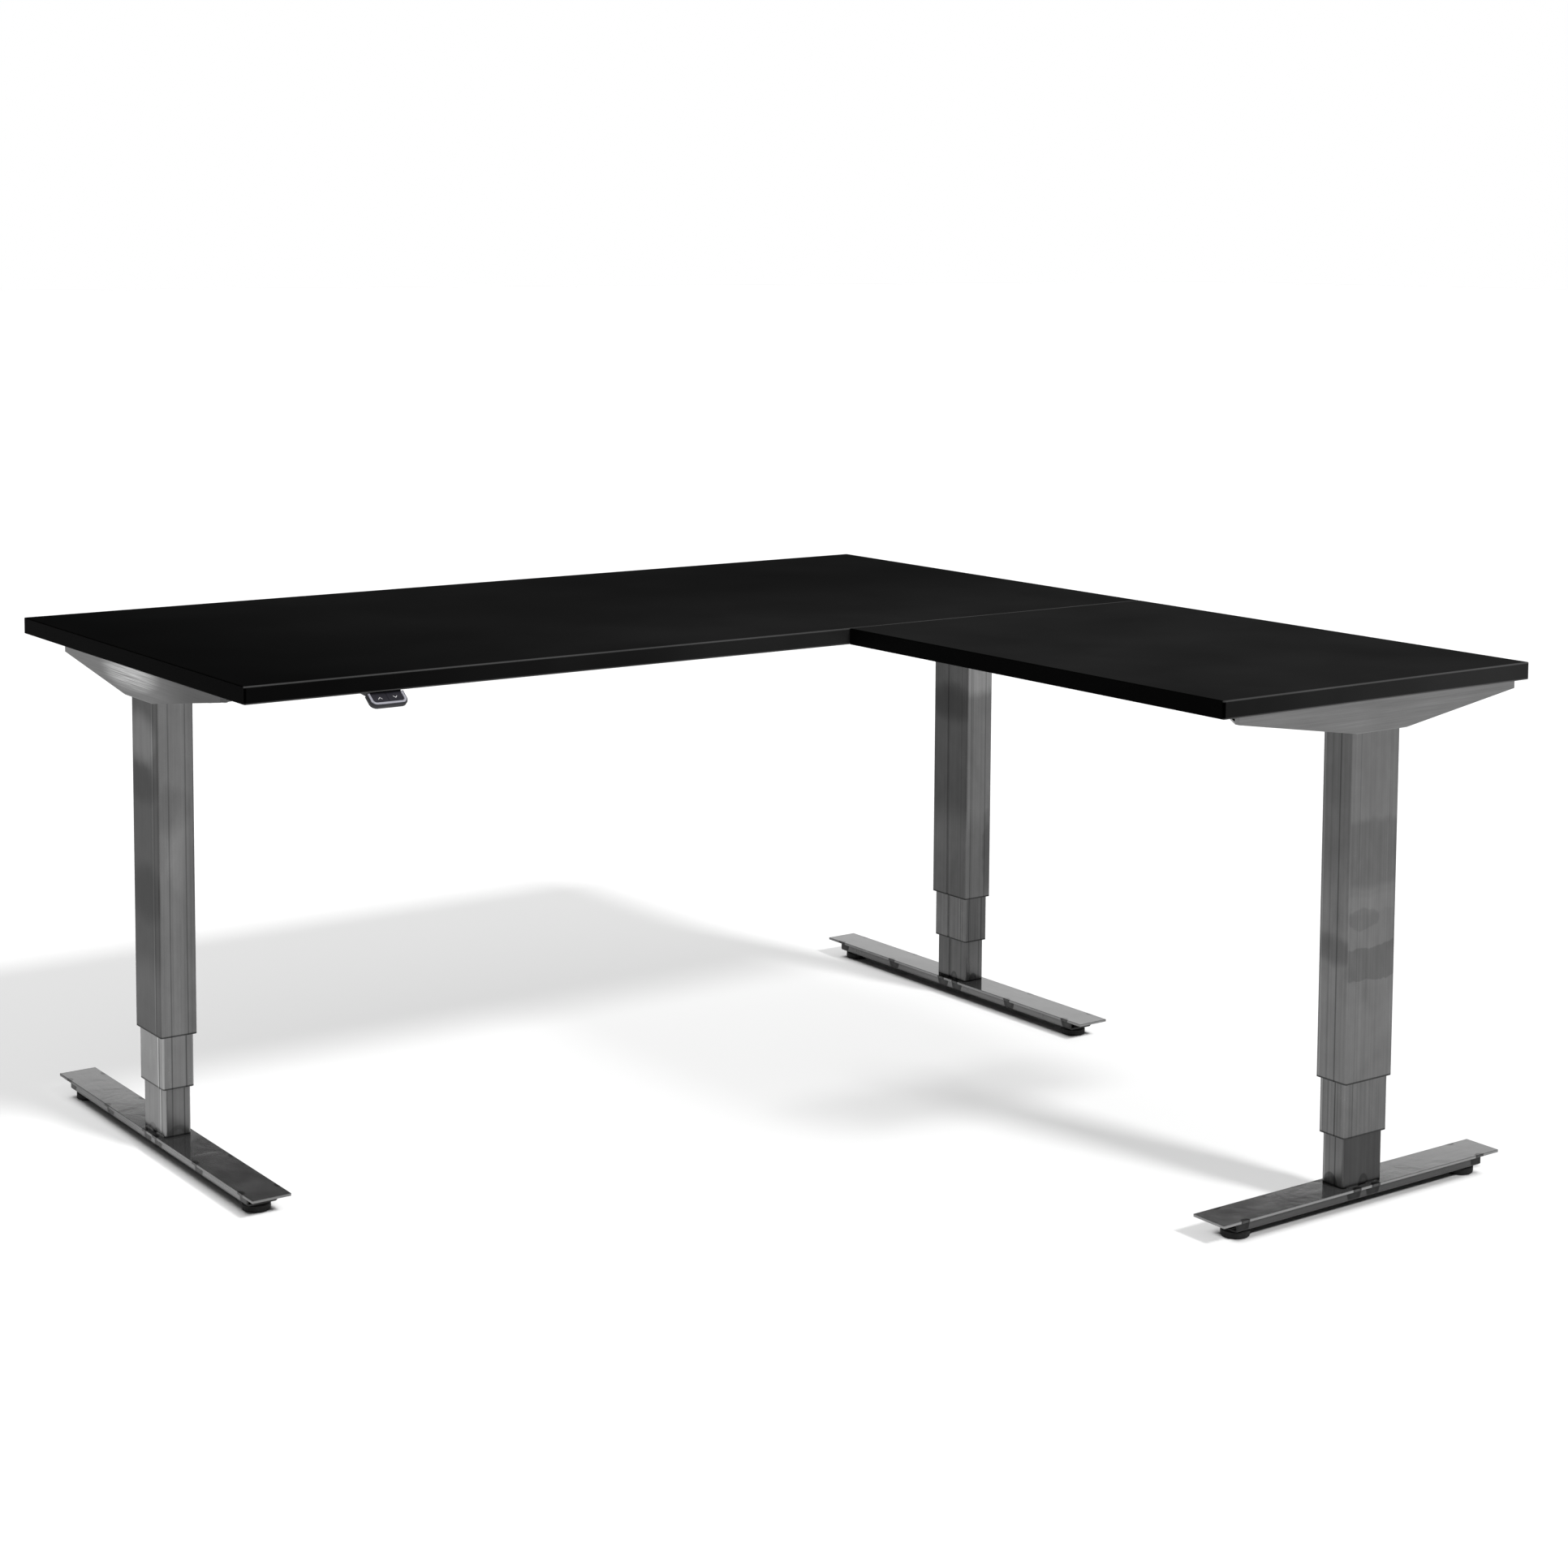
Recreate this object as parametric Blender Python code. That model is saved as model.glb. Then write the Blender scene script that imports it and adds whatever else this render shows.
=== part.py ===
"""Height adjustable L-shaped standing desk: two tops on three telescopic legs, with the drive inside each leg.

Metres, +Z up. The origin is on the floor, at the middle of the desk's outline. +X runs along the main top,
+Y towards its back edge. The return top reaches forward, along -Y, at the right-hand end.
"""

import math

import bmesh
import bpy
from mathutils import Matrix, Vector

# ---- driving dimensions ----------------------------------------------------------------------------
DESK_HEIGHT = 0.742
TOP_THICKNESS = 0.025
MAIN_LENGTH = 1.600
MAIN_DEPTH = 0.800
RETURN_LENGTH = 0.800
RETURN_WIDTH = 0.600
SEAM_GAP = 0.001
LEG_INSET = 0.051
MAIN_LEG_Y = 0.390
RETURN_LEG_X = 0.516
GAP = 0.0003

UNDERSIDE = DESK_HEIGHT - TOP_THICKNESS
MOUNTING_LEVEL = UNDERSIDE - GAP

# feet
MAIN_FOOT_LENGTH = 0.700
RETURN_FOOT_LENGTH = 0.550
PLATE_WIDTH = 0.058
PLATE_TOP = 0.030
PLATE_THICKNESS = 0.004
CHANNEL_WIDTH = 0.046
CHANNEL_BOTTOM = 0.012
CHANNEL_WALL = 0.0025
CHANNEL_CORNER = 0.0035
CHANNEL_INSET = 0.031
GLIDE_INSET = 0.050
GLIDE_RADIUS = 0.020
STEM_RADIUS = 0.005

# columns: width is across the foot, depth along it
OUTER_WIDTH = 0.056
OUTER_DEPTH = 0.092
STAGE_STEP = 0.008
TUBE_WALL = 0.002
TUBE_CORNER = 0.0035
GROOVE_OFFSET = -0.0046
GROOVE_WIDTH = 0.0070
GROOVE_DEPTH = 0.0012
OUTER_BOTTOM = 0.180
MIDDLE_BOTTOM = 0.102
MIDDLE_TOP = 0.592
INNER_TOP = 0.500
RING_HEIGHT = 0.020
CAP_BLOCK_HEIGHT = 0.012
CAP_FLANGE_HEIGHT = 0.004

# drive
SCREW_RADIUS = 0.006
SCREW_BOTTOM = 0.300
SPINDLE_RADIUS = 0.009
SPINDLE_BORE = 0.0065
SPINDLE_BOTTOM = 0.205
SPINDLE_HEAD_RADIUS = 0.014
SPINDLE_HEAD_TOP = 0.604
GEARBOX_SIZE = 0.060
GEARBOX_HEIGHT = 0.036
MOTOR_RADIUS = 0.0205
MOTOR_LENGTH = 0.098

# side brackets
MAIN_BRACKET_LENGTH = 0.560
RETURN_BRACKET_LENGTH = 0.545
BRACKET_WIDTH = 0.072
BRACKET_DEPTH = 0.047
BRACKET_END_DEPTH = 0.013
BRACKET_FLAT = 0.098
BRACKET_SHEET = 0.0025
BRACKET_HOLE_RADIUS = 0.016
BRACKET_CUT_BACK = 0.055
BRACKET_END_LAND = 0.008

# beams and joining plate
BEAM_WIDTH = 0.040
BEAM_HEIGHT = 0.030
BEAM_OFFSET = 0.090
JOINING_PLATE = (0.120, 0.300, 0.003)

# control box
CONTROL_BOX = (0.300, 0.100, 0.038)
CONTROL_BOX_Y = 0.610
MAINS_INLET = (0.028, 0.016, 0.020)
SOCKET = (0.013, 0.010, 0.009)
INLET_X = 0.118
SOCKET_XS = (-0.120, -0.085, -0.050, -0.015)

# handset, hung under the main top's front edge
HANDSET_X = -0.591
HANDSET_SLOPE = math.radians(36)
FACE_WIDTH = 0.056
FACE_LENGTH = 0.0235
FACE_THICKNESS = 0.007
FACE_CORNER = 0.009
KEY_PAD_WIDTH = 0.047
KEY_PAD_TOP = -0.0025
KEY_PAD_BOTTOM = -0.0190
KEY_PAD_DEPTH = 0.0036
KEY_PAD_CORNER = 0.005
KEY_THICKNESS = 0.0024
KEY_CORNER = KEY_PAD_CORNER - GAP

BRACKET_BOTTOM = MOUNTING_LEVEL - BRACKET_DEPTH
OUTER_TOP = BRACKET_BOTTOM - GAP
RING_WALL = STAGE_STEP / 2 - TUBE_WALL - 2 * GAP
CORNER_STEPS = 4
ROUND_STEPS = 24


# ---- materials -------------------------------------------------------------------------------------
def material(name, color, roughness, metallic=0.0):
    made = bpy.data.materials.new(name)
    made.use_nodes = True
    shader = made.node_tree.nodes["Principled BSDF"]
    shader.inputs["Base Color"].default_value = (*color, 1.0)
    shader.inputs["Roughness"].default_value = roughness
    shader.inputs["Metallic"].default_value = metallic
    return made


def make_materials():
    return {
        "laminate": material("black_laminate", (0.013, 0.013, 0.014), 0.45),
        "steel": material("raw_steel", (0.26, 0.26, 0.26), 0.32, 1.0),
        "sheet": material("brushed_sheet_steel", (0.36, 0.36, 0.36), 0.30, 1.0),
        "screw": material("bright_screw_steel", (0.55, 0.55, 0.56), 0.25, 1.0),
        "rubber": material("black_rubber", (0.012, 0.012, 0.012), 0.75),
        "glide": material("black_glide_plastic", (0.02, 0.02, 0.02), 0.55),
        "cast": material("cast_aluminium", (0.45, 0.45, 0.46), 0.45, 1.0),
        "motor": material("black_painted_metal", (0.02, 0.02, 0.022), 0.40, 0.3),
        "housing": material("charcoal_plastic", (0.028, 0.028, 0.034), 0.50),
        "key": material("key_plastic", (0.040, 0.038, 0.052), 0.45),
    }


# ---- shape helpers ---------------------------------------------------------------------------------
def clear_scene():
    for old in list(bpy.data.objects):
        bpy.data.objects.remove(old, do_unlink=True)


def add_object(name, mesh_source, finish, parent=None, location=(0, 0, 0), rotation=(0, 0, 0)):
    """A new object from a bmesh, with smooth shading over its rounds and sharp edges over 35 degrees."""
    bmesh.ops.recalc_face_normals(mesh_source, faces=mesh_source.faces)
    mesh = bpy.data.meshes.new(name)
    mesh_source.to_mesh(mesh)
    mesh_source.free()
    mesh.shade_smooth()
    mesh.set_sharp_from_angle(angle=math.radians(35))
    mesh.materials.append(finish)
    made = bpy.data.objects.new(name, mesh)
    bpy.context.scene.collection.objects.link(made)
    made.location = location
    made.rotation_euler = rotation
    made.parent = parent
    return made


def add_empty(name, location, turn=0.0):
    made = bpy.data.objects.new(name, None)
    bpy.context.scene.collection.objects.link(made)
    made.location = location
    made.rotation_euler = (0, 0, turn)
    return made


def rectangle(width, depth, corner, steps=CORNER_STEPS):
    """A rounded rectangle's points, counter-clockwise, starting on the +X side."""
    points = []
    quarters = ((1, 1, 0), (-1, 1, 90), (-1, -1, 180), (1, -1, 270))
    for side_x, side_y, start in quarters:
        for step in range(steps + 1):
            angle = math.radians(start + 90 * step / steps)
            points.append(
                (
                    side_x * (width / 2 - corner) + corner * math.cos(angle),
                    side_y * (depth / 2 - corner) + corner * math.sin(angle),
                )
            )
    return points


def column_outline(width, depth, corner, groove_depth):
    """A column section with its lengthwise groove on the +X side. A groove depth of 0 keeps the same points."""
    ends = [GROOVE_OFFSET + half * GROOVE_WIDTH / 2 for half in (-1.0, -0.7, 0.7, 1.0)]
    depths = (0, groove_depth, groove_depth, 0)
    groove = [(width / 2 - deep, y) for y, deep in zip(ends, depths)]
    return rectangle(width, depth, corner) + groove


def circle(radius, count=ROUND_STEPS, phase=0.0):
    angles = [2 * math.pi * step / count + phase for step in range(count)]
    return [(radius * math.cos(angle), radius * math.sin(angle)) for angle in angles]


def bridge(shape, first, second):
    count = len(first)
    for i in range(count):
        after = (i + 1) % count
        shape.faces.new((first[i], first[after], second[after], second[i]))


def stacked(levels, closed_ring=False):
    """A solid through flat outlines at rising heights, given as (outline, z).

    A closed ring goes on from the last outline to the first one, which leaves a bore through it.
    """
    shape = bmesh.new()
    loops = [[shape.verts.new((x, y, z)) for x, y in outline] for outline, z in levels]
    for first, second in zip(loops, loops[1:]):
        bridge(shape, first, second)
    if closed_ring:
        bridge(shape, loops[-1], loops[0])
    else:
        shape.faces.new(loops[0][::-1])
        shape.faces.new(loops[-1])
    return shape


def tube(outside, inside, low, high):
    return stacked([(outside, low), (outside, high), (inside, high), (inside, low)], closed_ring=True)


def block(low, high, edge=0.0, edge_steps=2):
    """A box between two corners, its edges rounded where edge isn't 0."""
    shape = bmesh.new()
    bmesh.ops.create_cube(shape, size=1.0)
    low, high = Vector(low), Vector(high)
    size = high - low
    bmesh.ops.scale(shape, vec=size, verts=shape.verts)
    bmesh.ops.translate(shape, vec=(low + high) / 2, verts=shape.verts)
    if edge:
        bmesh.ops.bevel(shape, geom=shape.edges[:], offset=edge, segments=edge_steps, affect="EDGES", profile=0.5)
    return shape


def along_y(shape):
    """Turns a solid that was stacked along Z so that it runs along +Y, its own Y up."""
    bmesh.ops.transform(shape, matrix=Matrix(((1, 0, 0), (0, 0, 1), (0, 1, 0))).to_4x4(), verts=shape.verts)
    return shape


def along_x(shape):
    """Turns a solid that was stacked along Z so that it runs along +X, its own Y up."""
    bmesh.ops.transform(shape, matrix=Matrix(((0, 0, 1), (1, 0, 0), (0, 1, 0))).to_4x4(), verts=shape.verts)
    return shape


def as_cutter(made):
    made.hide_render = True
    made.display_type = "WIRE"
    return made


def combine(target, other, operation):
    modifier = target.modifiers.new(other.name, "BOOLEAN")
    modifier.operation = operation
    modifier.object = other
    modifier.solver = "EXACT"


def cut(target, shape, parent=None, location=(0, 0, 0), rotation=(0, 0, 0)):
    """Cuts a shape out of an object."""
    name = f"{target.name}_cutter_{len(target.modifiers)}"
    cutter = as_cutter(add_object(name, shape, target.data.materials[0], parent, location, rotation))
    combine(target, cutter, "DIFFERENCE")


def join(target, shape, parent=None, location=(0, 0, 0), rotation=(0, 0, 0)):
    """Joins a shape that overlaps an object to it."""
    name = f"{target.name}_joined_{len(target.modifiers)}"
    other = as_cutter(add_object(name, shape, target.data.materials[0], parent, location, rotation))
    combine(target, other, "UNION")


# ---- tops ------------------------------------------------------------------------------------------
def make_tops(finish):
    half = MAIN_LENGTH / 2
    edge = 0.0012
    main = block((-half, SEAM_GAP / 2, UNDERSIDE), (half, MAIN_DEPTH, DESK_HEIGHT), edge)
    add_object("main_desktop", main, finish["laminate"])
    low = (half - RETURN_WIDTH, -RETURN_LENGTH, UNDERSIDE)
    add_object("return_desktop", block(low, (half, -SEAM_GAP / 2, DESK_HEIGHT), edge), finish["laminate"])


# ---- foot: a flat plate on a U-channel, standing on two levelling glides ----------------------------
def channel_section():
    """The U-channel's section, its lower outer corners rounded."""
    half = CHANNEL_WIDTH / 2
    top = PLATE_TOP - PLATE_THICKNESS - GAP
    inner = half - CHANNEL_WALL
    floor = CHANNEL_BOTTOM + CHANNEL_WALL
    points = [(-inner, top), (-half, top)]
    for side, start in ((-1, 180), (1, 270)):
        for step in range(CORNER_STEPS + 1):
            angle = math.radians(start + 90 * step / CORNER_STEPS)
            x = side * (half - CHANNEL_CORNER) + CHANNEL_CORNER * math.cos(angle)
            points.append((x, CHANNEL_BOTTOM + CHANNEL_CORNER + CHANNEL_CORNER * math.sin(angle)))
    points += [(half, top), (inner, top), (inner, floor), (-inner, floor)]
    return points


def glide_shape():
    """A levelling glide: a round pad with a threaded stem, on its own axis."""
    profile = (
        (GLIDE_RADIUS - 0.0020, 0.0),
        (GLIDE_RADIUS - 0.0004, 0.0008),
        (GLIDE_RADIUS, 0.0025),
        (GLIDE_RADIUS, 0.0085),
        (GLIDE_RADIUS - 0.0025, 0.0112),
        (STEM_RADIUS, 0.0112),
        (STEM_RADIUS, 0.0245),
    )
    return stacked([(circle(radius), z) for radius, z in profile])


def make_foot(number, leg, foot_length, ends, finish):
    """A foot. The ends name its two glides, the one on the foot's own +Y side first."""
    plate_bottom = PLATE_TOP - PLATE_THICKNESS
    half_length = foot_length / 2
    low = (-PLATE_WIDTH / 2, -half_length, plate_bottom)
    plate = block(low, (PLATE_WIDTH / 2, half_length, PLATE_TOP), 0.0005)
    add_object(f"foot_{number}_plate", plate, finish["steel"], leg)
    channel_end = half_length - CHANNEL_INSET
    section = channel_section()
    channel = along_y(stacked([(section, -channel_end), (section, channel_end)]))
    channel = add_object(f"foot_{number}_channel", channel, finish["steel"], leg)
    for word, side in zip(ends, (1, -1)):
        place = (0, side * (half_length - GLIDE_INSET), 0)
        hole = stacked([(circle(STEM_RADIUS + GAP), 0.010), (circle(STEM_RADIUS + GAP), 0.018)])
        cut(channel, hole, leg, place)
        add_object(f"glide_{number}_{word}", glide_shape(), finish["rubber"], leg, place)


# ---- column: three nested tubes with their glide rings and end caps --------------------------------
def tube_stage(stage, low, high):
    """Stage 0 is the outer tube, 1 the middle one and 2 the inner one."""
    width = OUTER_WIDTH - stage * STAGE_STEP
    depth = OUTER_DEPTH - stage * STAGE_STEP
    outside = column_outline(width, depth, TUBE_CORNER, GROOVE_DEPTH)
    inside = column_outline(width - 2 * TUBE_WALL, depth - 2 * TUBE_WALL, TUBE_CORNER - TUBE_WALL, 0.0)
    return tube(outside, inside, low, high)


def bore_size(stage):
    """Width and depth of the opening in a stage's tube."""
    taken = stage * STAGE_STEP + 2 * TUBE_WALL
    return OUTER_WIDTH - taken, OUTER_DEPTH - taken


def glide_ring(stage, low):
    """The ring in the mouth of a tube, which the next tube slides in."""
    width, depth = bore_size(stage)
    corner = TUBE_CORNER - TUBE_WALL
    outside = rectangle(width - 2 * GAP, depth - 2 * GAP, corner)
    taken = 2 * GAP + 2 * RING_WALL
    return tube(outside, rectangle(width - taken, depth - taken, corner + 0.001), low, low + RING_HEIGHT)


def end_cap(stage, tube_top):
    """The cap on top of a tube: a block inside it, a flange that slides in the tube around it, and a bore."""
    width, depth = bore_size(stage)
    around_width, around_depth = bore_size(stage - 1)
    corner = TUBE_CORNER - TUBE_WALL
    inside = rectangle(width - 2 * GAP, depth - 2 * GAP, corner, CORNER_STEPS + 1)
    flange = rectangle(around_width - 2 * GAP, around_depth - 2 * GAP, corner, CORNER_STEPS + 1)
    bore = circle(SPINDLE_RADIUS + GAP, len(inside), math.radians(7.5))
    seat = tube_top + GAP
    levels = [
        (inside, seat - CAP_BLOCK_HEIGHT),
        (inside, seat),
        (flange, seat),
        (flange, seat + CAP_FLANGE_HEIGHT),
        (bore, seat + CAP_FLANGE_HEIGHT),
        (bore, seat - CAP_BLOCK_HEIGHT),
    ]
    return stacked(levels, closed_ring=True)


def make_column(number, leg, finish):
    name = f"column_{number}"
    stages = (
        ("outer_tube", 0, OUTER_BOTTOM, OUTER_TOP),
        ("middle_tube", 1, MIDDLE_BOTTOM, MIDDLE_TOP),
        ("inner_tube", 2, PLATE_TOP + GAP, INNER_TOP),
    )
    for word, stage, low, high in stages:
        add_object(f"{name}_{word}", tube_stage(stage, low, high), finish["steel"], leg)
    add_object(f"{name}_outer_ring", glide_ring(0, OUTER_BOTTOM), finish["glide"], leg)
    add_object(f"{name}_middle_ring", glide_ring(1, MIDDLE_BOTTOM), finish["glide"], leg)
    add_object(f"{name}_bearing_cap", end_cap(1, MIDDLE_TOP), finish["glide"], leg)
    add_object(f"{name}_nut_cap", end_cap(2, INNER_TOP), finish["glide"], leg)


# ---- drive: motor and gearbox over the column, drive screw and hollow spindle inside it ------------
def make_drive(number, leg, finish):
    name = f"column_{number}"
    gearbox_bottom = BRACKET_BOTTOM + BRACKET_SHEET + 2 * GAP
    gearbox_top = gearbox_bottom + GEARBOX_HEIGHT

    screw = circle(SCREW_RADIUS, 16)
    tip = circle(SCREW_RADIUS - 0.002, 16)
    screw_top = gearbox_top - 0.004
    levels = [(tip, SCREW_BOTTOM), (screw, SCREW_BOTTOM + 0.002), (screw, screw_top)]
    add_object(f"{name}_drive_screw", stacked(levels), finish["screw"], leg)

    shank = circle(SPINDLE_RADIUS, 16)
    head = circle(SPINDLE_HEAD_RADIUS, 16)
    bore = circle(SPINDLE_BORE, 16)
    head_bottom = MIDDLE_TOP + CAP_FLANGE_HEIGHT + 2 * GAP
    levels = [
        (shank, SPINDLE_BOTTOM),
        (shank, head_bottom),
        (head, head_bottom),
        (head, SPINDLE_HEAD_TOP),
        (bore, SPINDLE_HEAD_TOP),
        (bore, SPINDLE_BOTTOM),
    ]
    add_object(f"{name}_hollow_spindle", stacked(levels, closed_ring=True), finish["screw"], leg)

    case = rectangle(GEARBOX_SIZE, GEARBOX_SIZE, 0.006)
    lid = rectangle(GEARBOX_SIZE - 0.004, GEARBOX_SIZE - 0.004, 0.004)
    bore = circle(SCREW_RADIUS + GAP, len(case), math.radians(9))
    levels = [
        (case, gearbox_bottom),
        (case, gearbox_top - 0.002),
        (lid, gearbox_top),
        (bore, gearbox_top),
        (bore, gearbox_bottom),
    ]
    add_object(f"gearbox_{number}", stacked(levels, closed_ring=True), finish["cast"], leg)

    start = GEARBOX_SIZE / 2 + GAP
    profile = (
        (MOTOR_RADIUS + 0.001, start),
        (MOTOR_RADIUS + 0.001, start + 0.006),
        (MOTOR_RADIUS, start + 0.006),
        (MOTOR_RADIUS, start + MOTOR_LENGTH - 0.010),
        (MOTOR_RADIUS - 0.002, start + MOTOR_LENGTH - 0.010),
        (MOTOR_RADIUS - 0.003, start + MOTOR_LENGTH),
    )
    motor = along_x(stacked([(circle(radius), x) for radius, x in profile]))
    place = (0, 0, gearbox_bottom + MOTOR_RADIUS + 0.002)
    add_object(f"motor_{number}", motor, finish["motor"], leg, place)


# ---- side bracket: a tapered steel tray between the column's head and the top ----------------------
def tapered_prism(half_width, half_length, half_flat, top, end_bottom, flat_bottom):
    """A straight-topped prism whose underside falls from both ends to a flat in the middle."""
    side = [
        (-half_length, top),
        (-half_length, end_bottom),
        (-half_flat, flat_bottom),
        (half_flat, flat_bottom),
        (half_length, end_bottom),
        (half_length, top),
    ]
    return along_x(stacked([(side, -half_width), (side, half_width)]))


def end_cut_back(end, half_width, half_length, above):
    """A wedge that takes the inboard corner off one end, so only the outer flange runs the full length."""
    beyond = 0.010
    slope = BRACKET_CUT_BACK / (BRACKET_WIDTH - BRACKET_END_LAND)
    wedge = [
        (BRACKET_END_LAND - half_width - beyond, end * (half_length + slope * beyond)),
        (half_width + beyond, end * (half_length - BRACKET_CUT_BACK - slope * beyond)),
        (half_width + beyond, end * (half_length + slope * beyond)),
    ]
    outline = wedge if end < 0 else wedge[::-1]
    return stacked([(outline, BRACKET_BOTTOM - 0.005), (outline, above)])


def make_bracket(number, leg, length, finish):
    half_width, half_length, half_flat = BRACKET_WIDTH / 2, length / 2, BRACKET_FLAT / 2
    end_bottom = MOUNTING_LEVEL - BRACKET_END_DEPTH
    outside = tapered_prism(half_width, half_length, half_flat, MOUNTING_LEVEL, end_bottom, BRACKET_BOTTOM)
    bracket = add_object(f"side_bracket_{number}", outside, finish["sheet"], leg)
    sheet = BRACKET_SHEET
    above = MOUNTING_LEVEL + 0.010
    inside = tapered_prism(
        half_width - sheet, half_length - sheet, half_flat, above, end_bottom + sheet, BRACKET_BOTTOM + sheet
    )
    cut(bracket, inside, leg)
    notch_half = MOTOR_RADIUS + 0.0045
    notch_low = (half_width - 2 * sheet, -notch_half, BRACKET_BOTTOM + sheet)
    cut(bracket, block(notch_low, (half_width + 0.010, notch_half, above)), leg)
    hole = circle(BRACKET_HOLE_RADIUS)
    cut(bracket, stacked([(hole, BRACKET_BOTTOM - 0.005), (hole, BRACKET_BOTTOM + 0.010)]), leg)
    for end in (-1, 1):
        cut(bracket, end_cut_back(end, half_width, half_length, above), leg)


def make_leg(number, place, turn, ends, foot_length, bracket_length, finish):
    """One leg. Its own +X points inboard, to its motor, and its own Y runs along its foot."""
    leg = add_empty(f"leg_{number}", (*place, 0), turn)
    make_foot(number, leg, foot_length, ends, finish)
    make_column(number, leg, finish)
    make_drive(number, leg, finish)
    make_bracket(number, leg, bracket_length, finish)


def make_legs(finish):
    across = MAIN_LENGTH / 2 - LEG_INSET
    main = (MAIN_FOOT_LENGTH, MAIN_BRACKET_LENGTH, finish)
    make_leg(1, (-across, MAIN_LEG_Y), 0.0, ("rear", "front"), *main)
    make_leg(2, (across, MAIN_LEG_Y), math.pi, ("front", "rear"), *main)
    at_return = (RETURN_LEG_X, LEG_INSET - RETURN_LENGTH)
    side_ends = ("left", "right")
    make_leg(3, at_return, math.pi / 2, side_ends, RETURN_FOOT_LENGTH, RETURN_BRACKET_LENGTH, finish)


# ---- beams, joining plate and control box ----------------------------------------------------------
def beam(length):
    outside = rectangle(BEAM_WIDTH, BEAM_HEIGHT, 0.003)
    inside = rectangle(BEAM_WIDTH - 2 * TUBE_WALL, BEAM_HEIGHT - 2 * TUBE_WALL, 0.001)
    return tube(outside, inside, -length / 2, length / 2)


def make_beams(finish):
    level = MOUNTING_LEVEL - BEAM_HEIGHT / 2
    main_length = MAIN_LENGTH - 2 * (LEG_INSET + BRACKET_WIDTH / 2 + GAP)
    for word, side in (("front", -1), ("rear", 1)):
        place = (0, MAIN_LEG_Y + side * BEAM_OFFSET, level)
        add_object(f"main_{word}_beam", along_x(beam(main_length)), finish["steel"], None, place)
    start = LEG_INSET - RETURN_LENGTH + BRACKET_WIDTH / 2 + GAP
    end = MAIN_LEG_Y - BEAM_OFFSET - BEAM_WIDTH / 2 - GAP
    for word, side in (("left", -1), ("right", 1)):
        place = (RETURN_LEG_X + side * BEAM_OFFSET, (start + end) / 2, level)
        add_object(f"return_{word}_beam", along_y(beam(end - start)), finish["steel"], None, place)
    width, length, thickness = JOINING_PLATE
    low = (RETURN_LEG_X - width / 2, -length / 2, MOUNTING_LEVEL - thickness)
    high = (RETURN_LEG_X + width / 2, length / 2, MOUNTING_LEVEL)
    add_object("joining_plate", block(low, high, 0.0005), finish["sheet"])


def make_control_box(finish):
    width, depth, height = CONTROL_BOX
    back = CONTROL_BOX_Y + depth / 2
    low = (-width / 2, CONTROL_BOX_Y - depth / 2, MOUNTING_LEVEL - height)
    box = add_object("control_box", block(low, (width / 2, back, MOUNTING_LEVEL), 0.002), finish["housing"])
    middle = MOUNTING_LEVEL - height / 2
    openings = [(INLET_X, MAINS_INLET)] + [(x, SOCKET) for x in SOCKET_XS]
    for x, (wide, deep, tall) in openings:
        corner = (x - wide / 2, back - deep, middle - tall / 2)
        cut(box, block(corner, (x + wide / 2, back + 0.005, middle + tall / 2)))


# ---- handset: a sloping face with two keys, on a wedge screwed under the top -----------------------
def face_outline(half_width, top, bottom, corner):
    """A plate's outline with its two lower corners rounded."""
    points = [(half_width, top), (-half_width, top)]
    for side, start in ((-1, 180), (1, 270)):
        for step in range(CORNER_STEPS + 1):
            angle = math.radians(start + 90 * step / CORNER_STEPS)
            x = side * (half_width - corner) + corner * math.cos(angle)
            points.append((x, bottom + corner + corner * math.sin(angle)))
    return points


def key_outline(side):
    """One key: its lower outer corner is rounded, to follow the key pad's."""
    inner, outer = GAP, KEY_PAD_WIDTH / 2 - GAP
    top, bottom = KEY_PAD_TOP - GAP, KEY_PAD_BOTTOM + GAP
    points = [(inner, bottom)]
    for step in range(CORNER_STEPS + 1):
        angle = math.radians(270 + 90 * step / CORNER_STEPS)
        x = outer - KEY_CORNER + KEY_CORNER * math.cos(angle)
        points.append((x, bottom + KEY_CORNER + KEY_CORNER * math.sin(angle)))
    points += [(outer, top), (inner, top)]
    middle = (top + bottom) / 2
    centre = (inner + outer) / 2
    return [(side * (x - centre), y - middle) for x, y in points]


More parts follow.
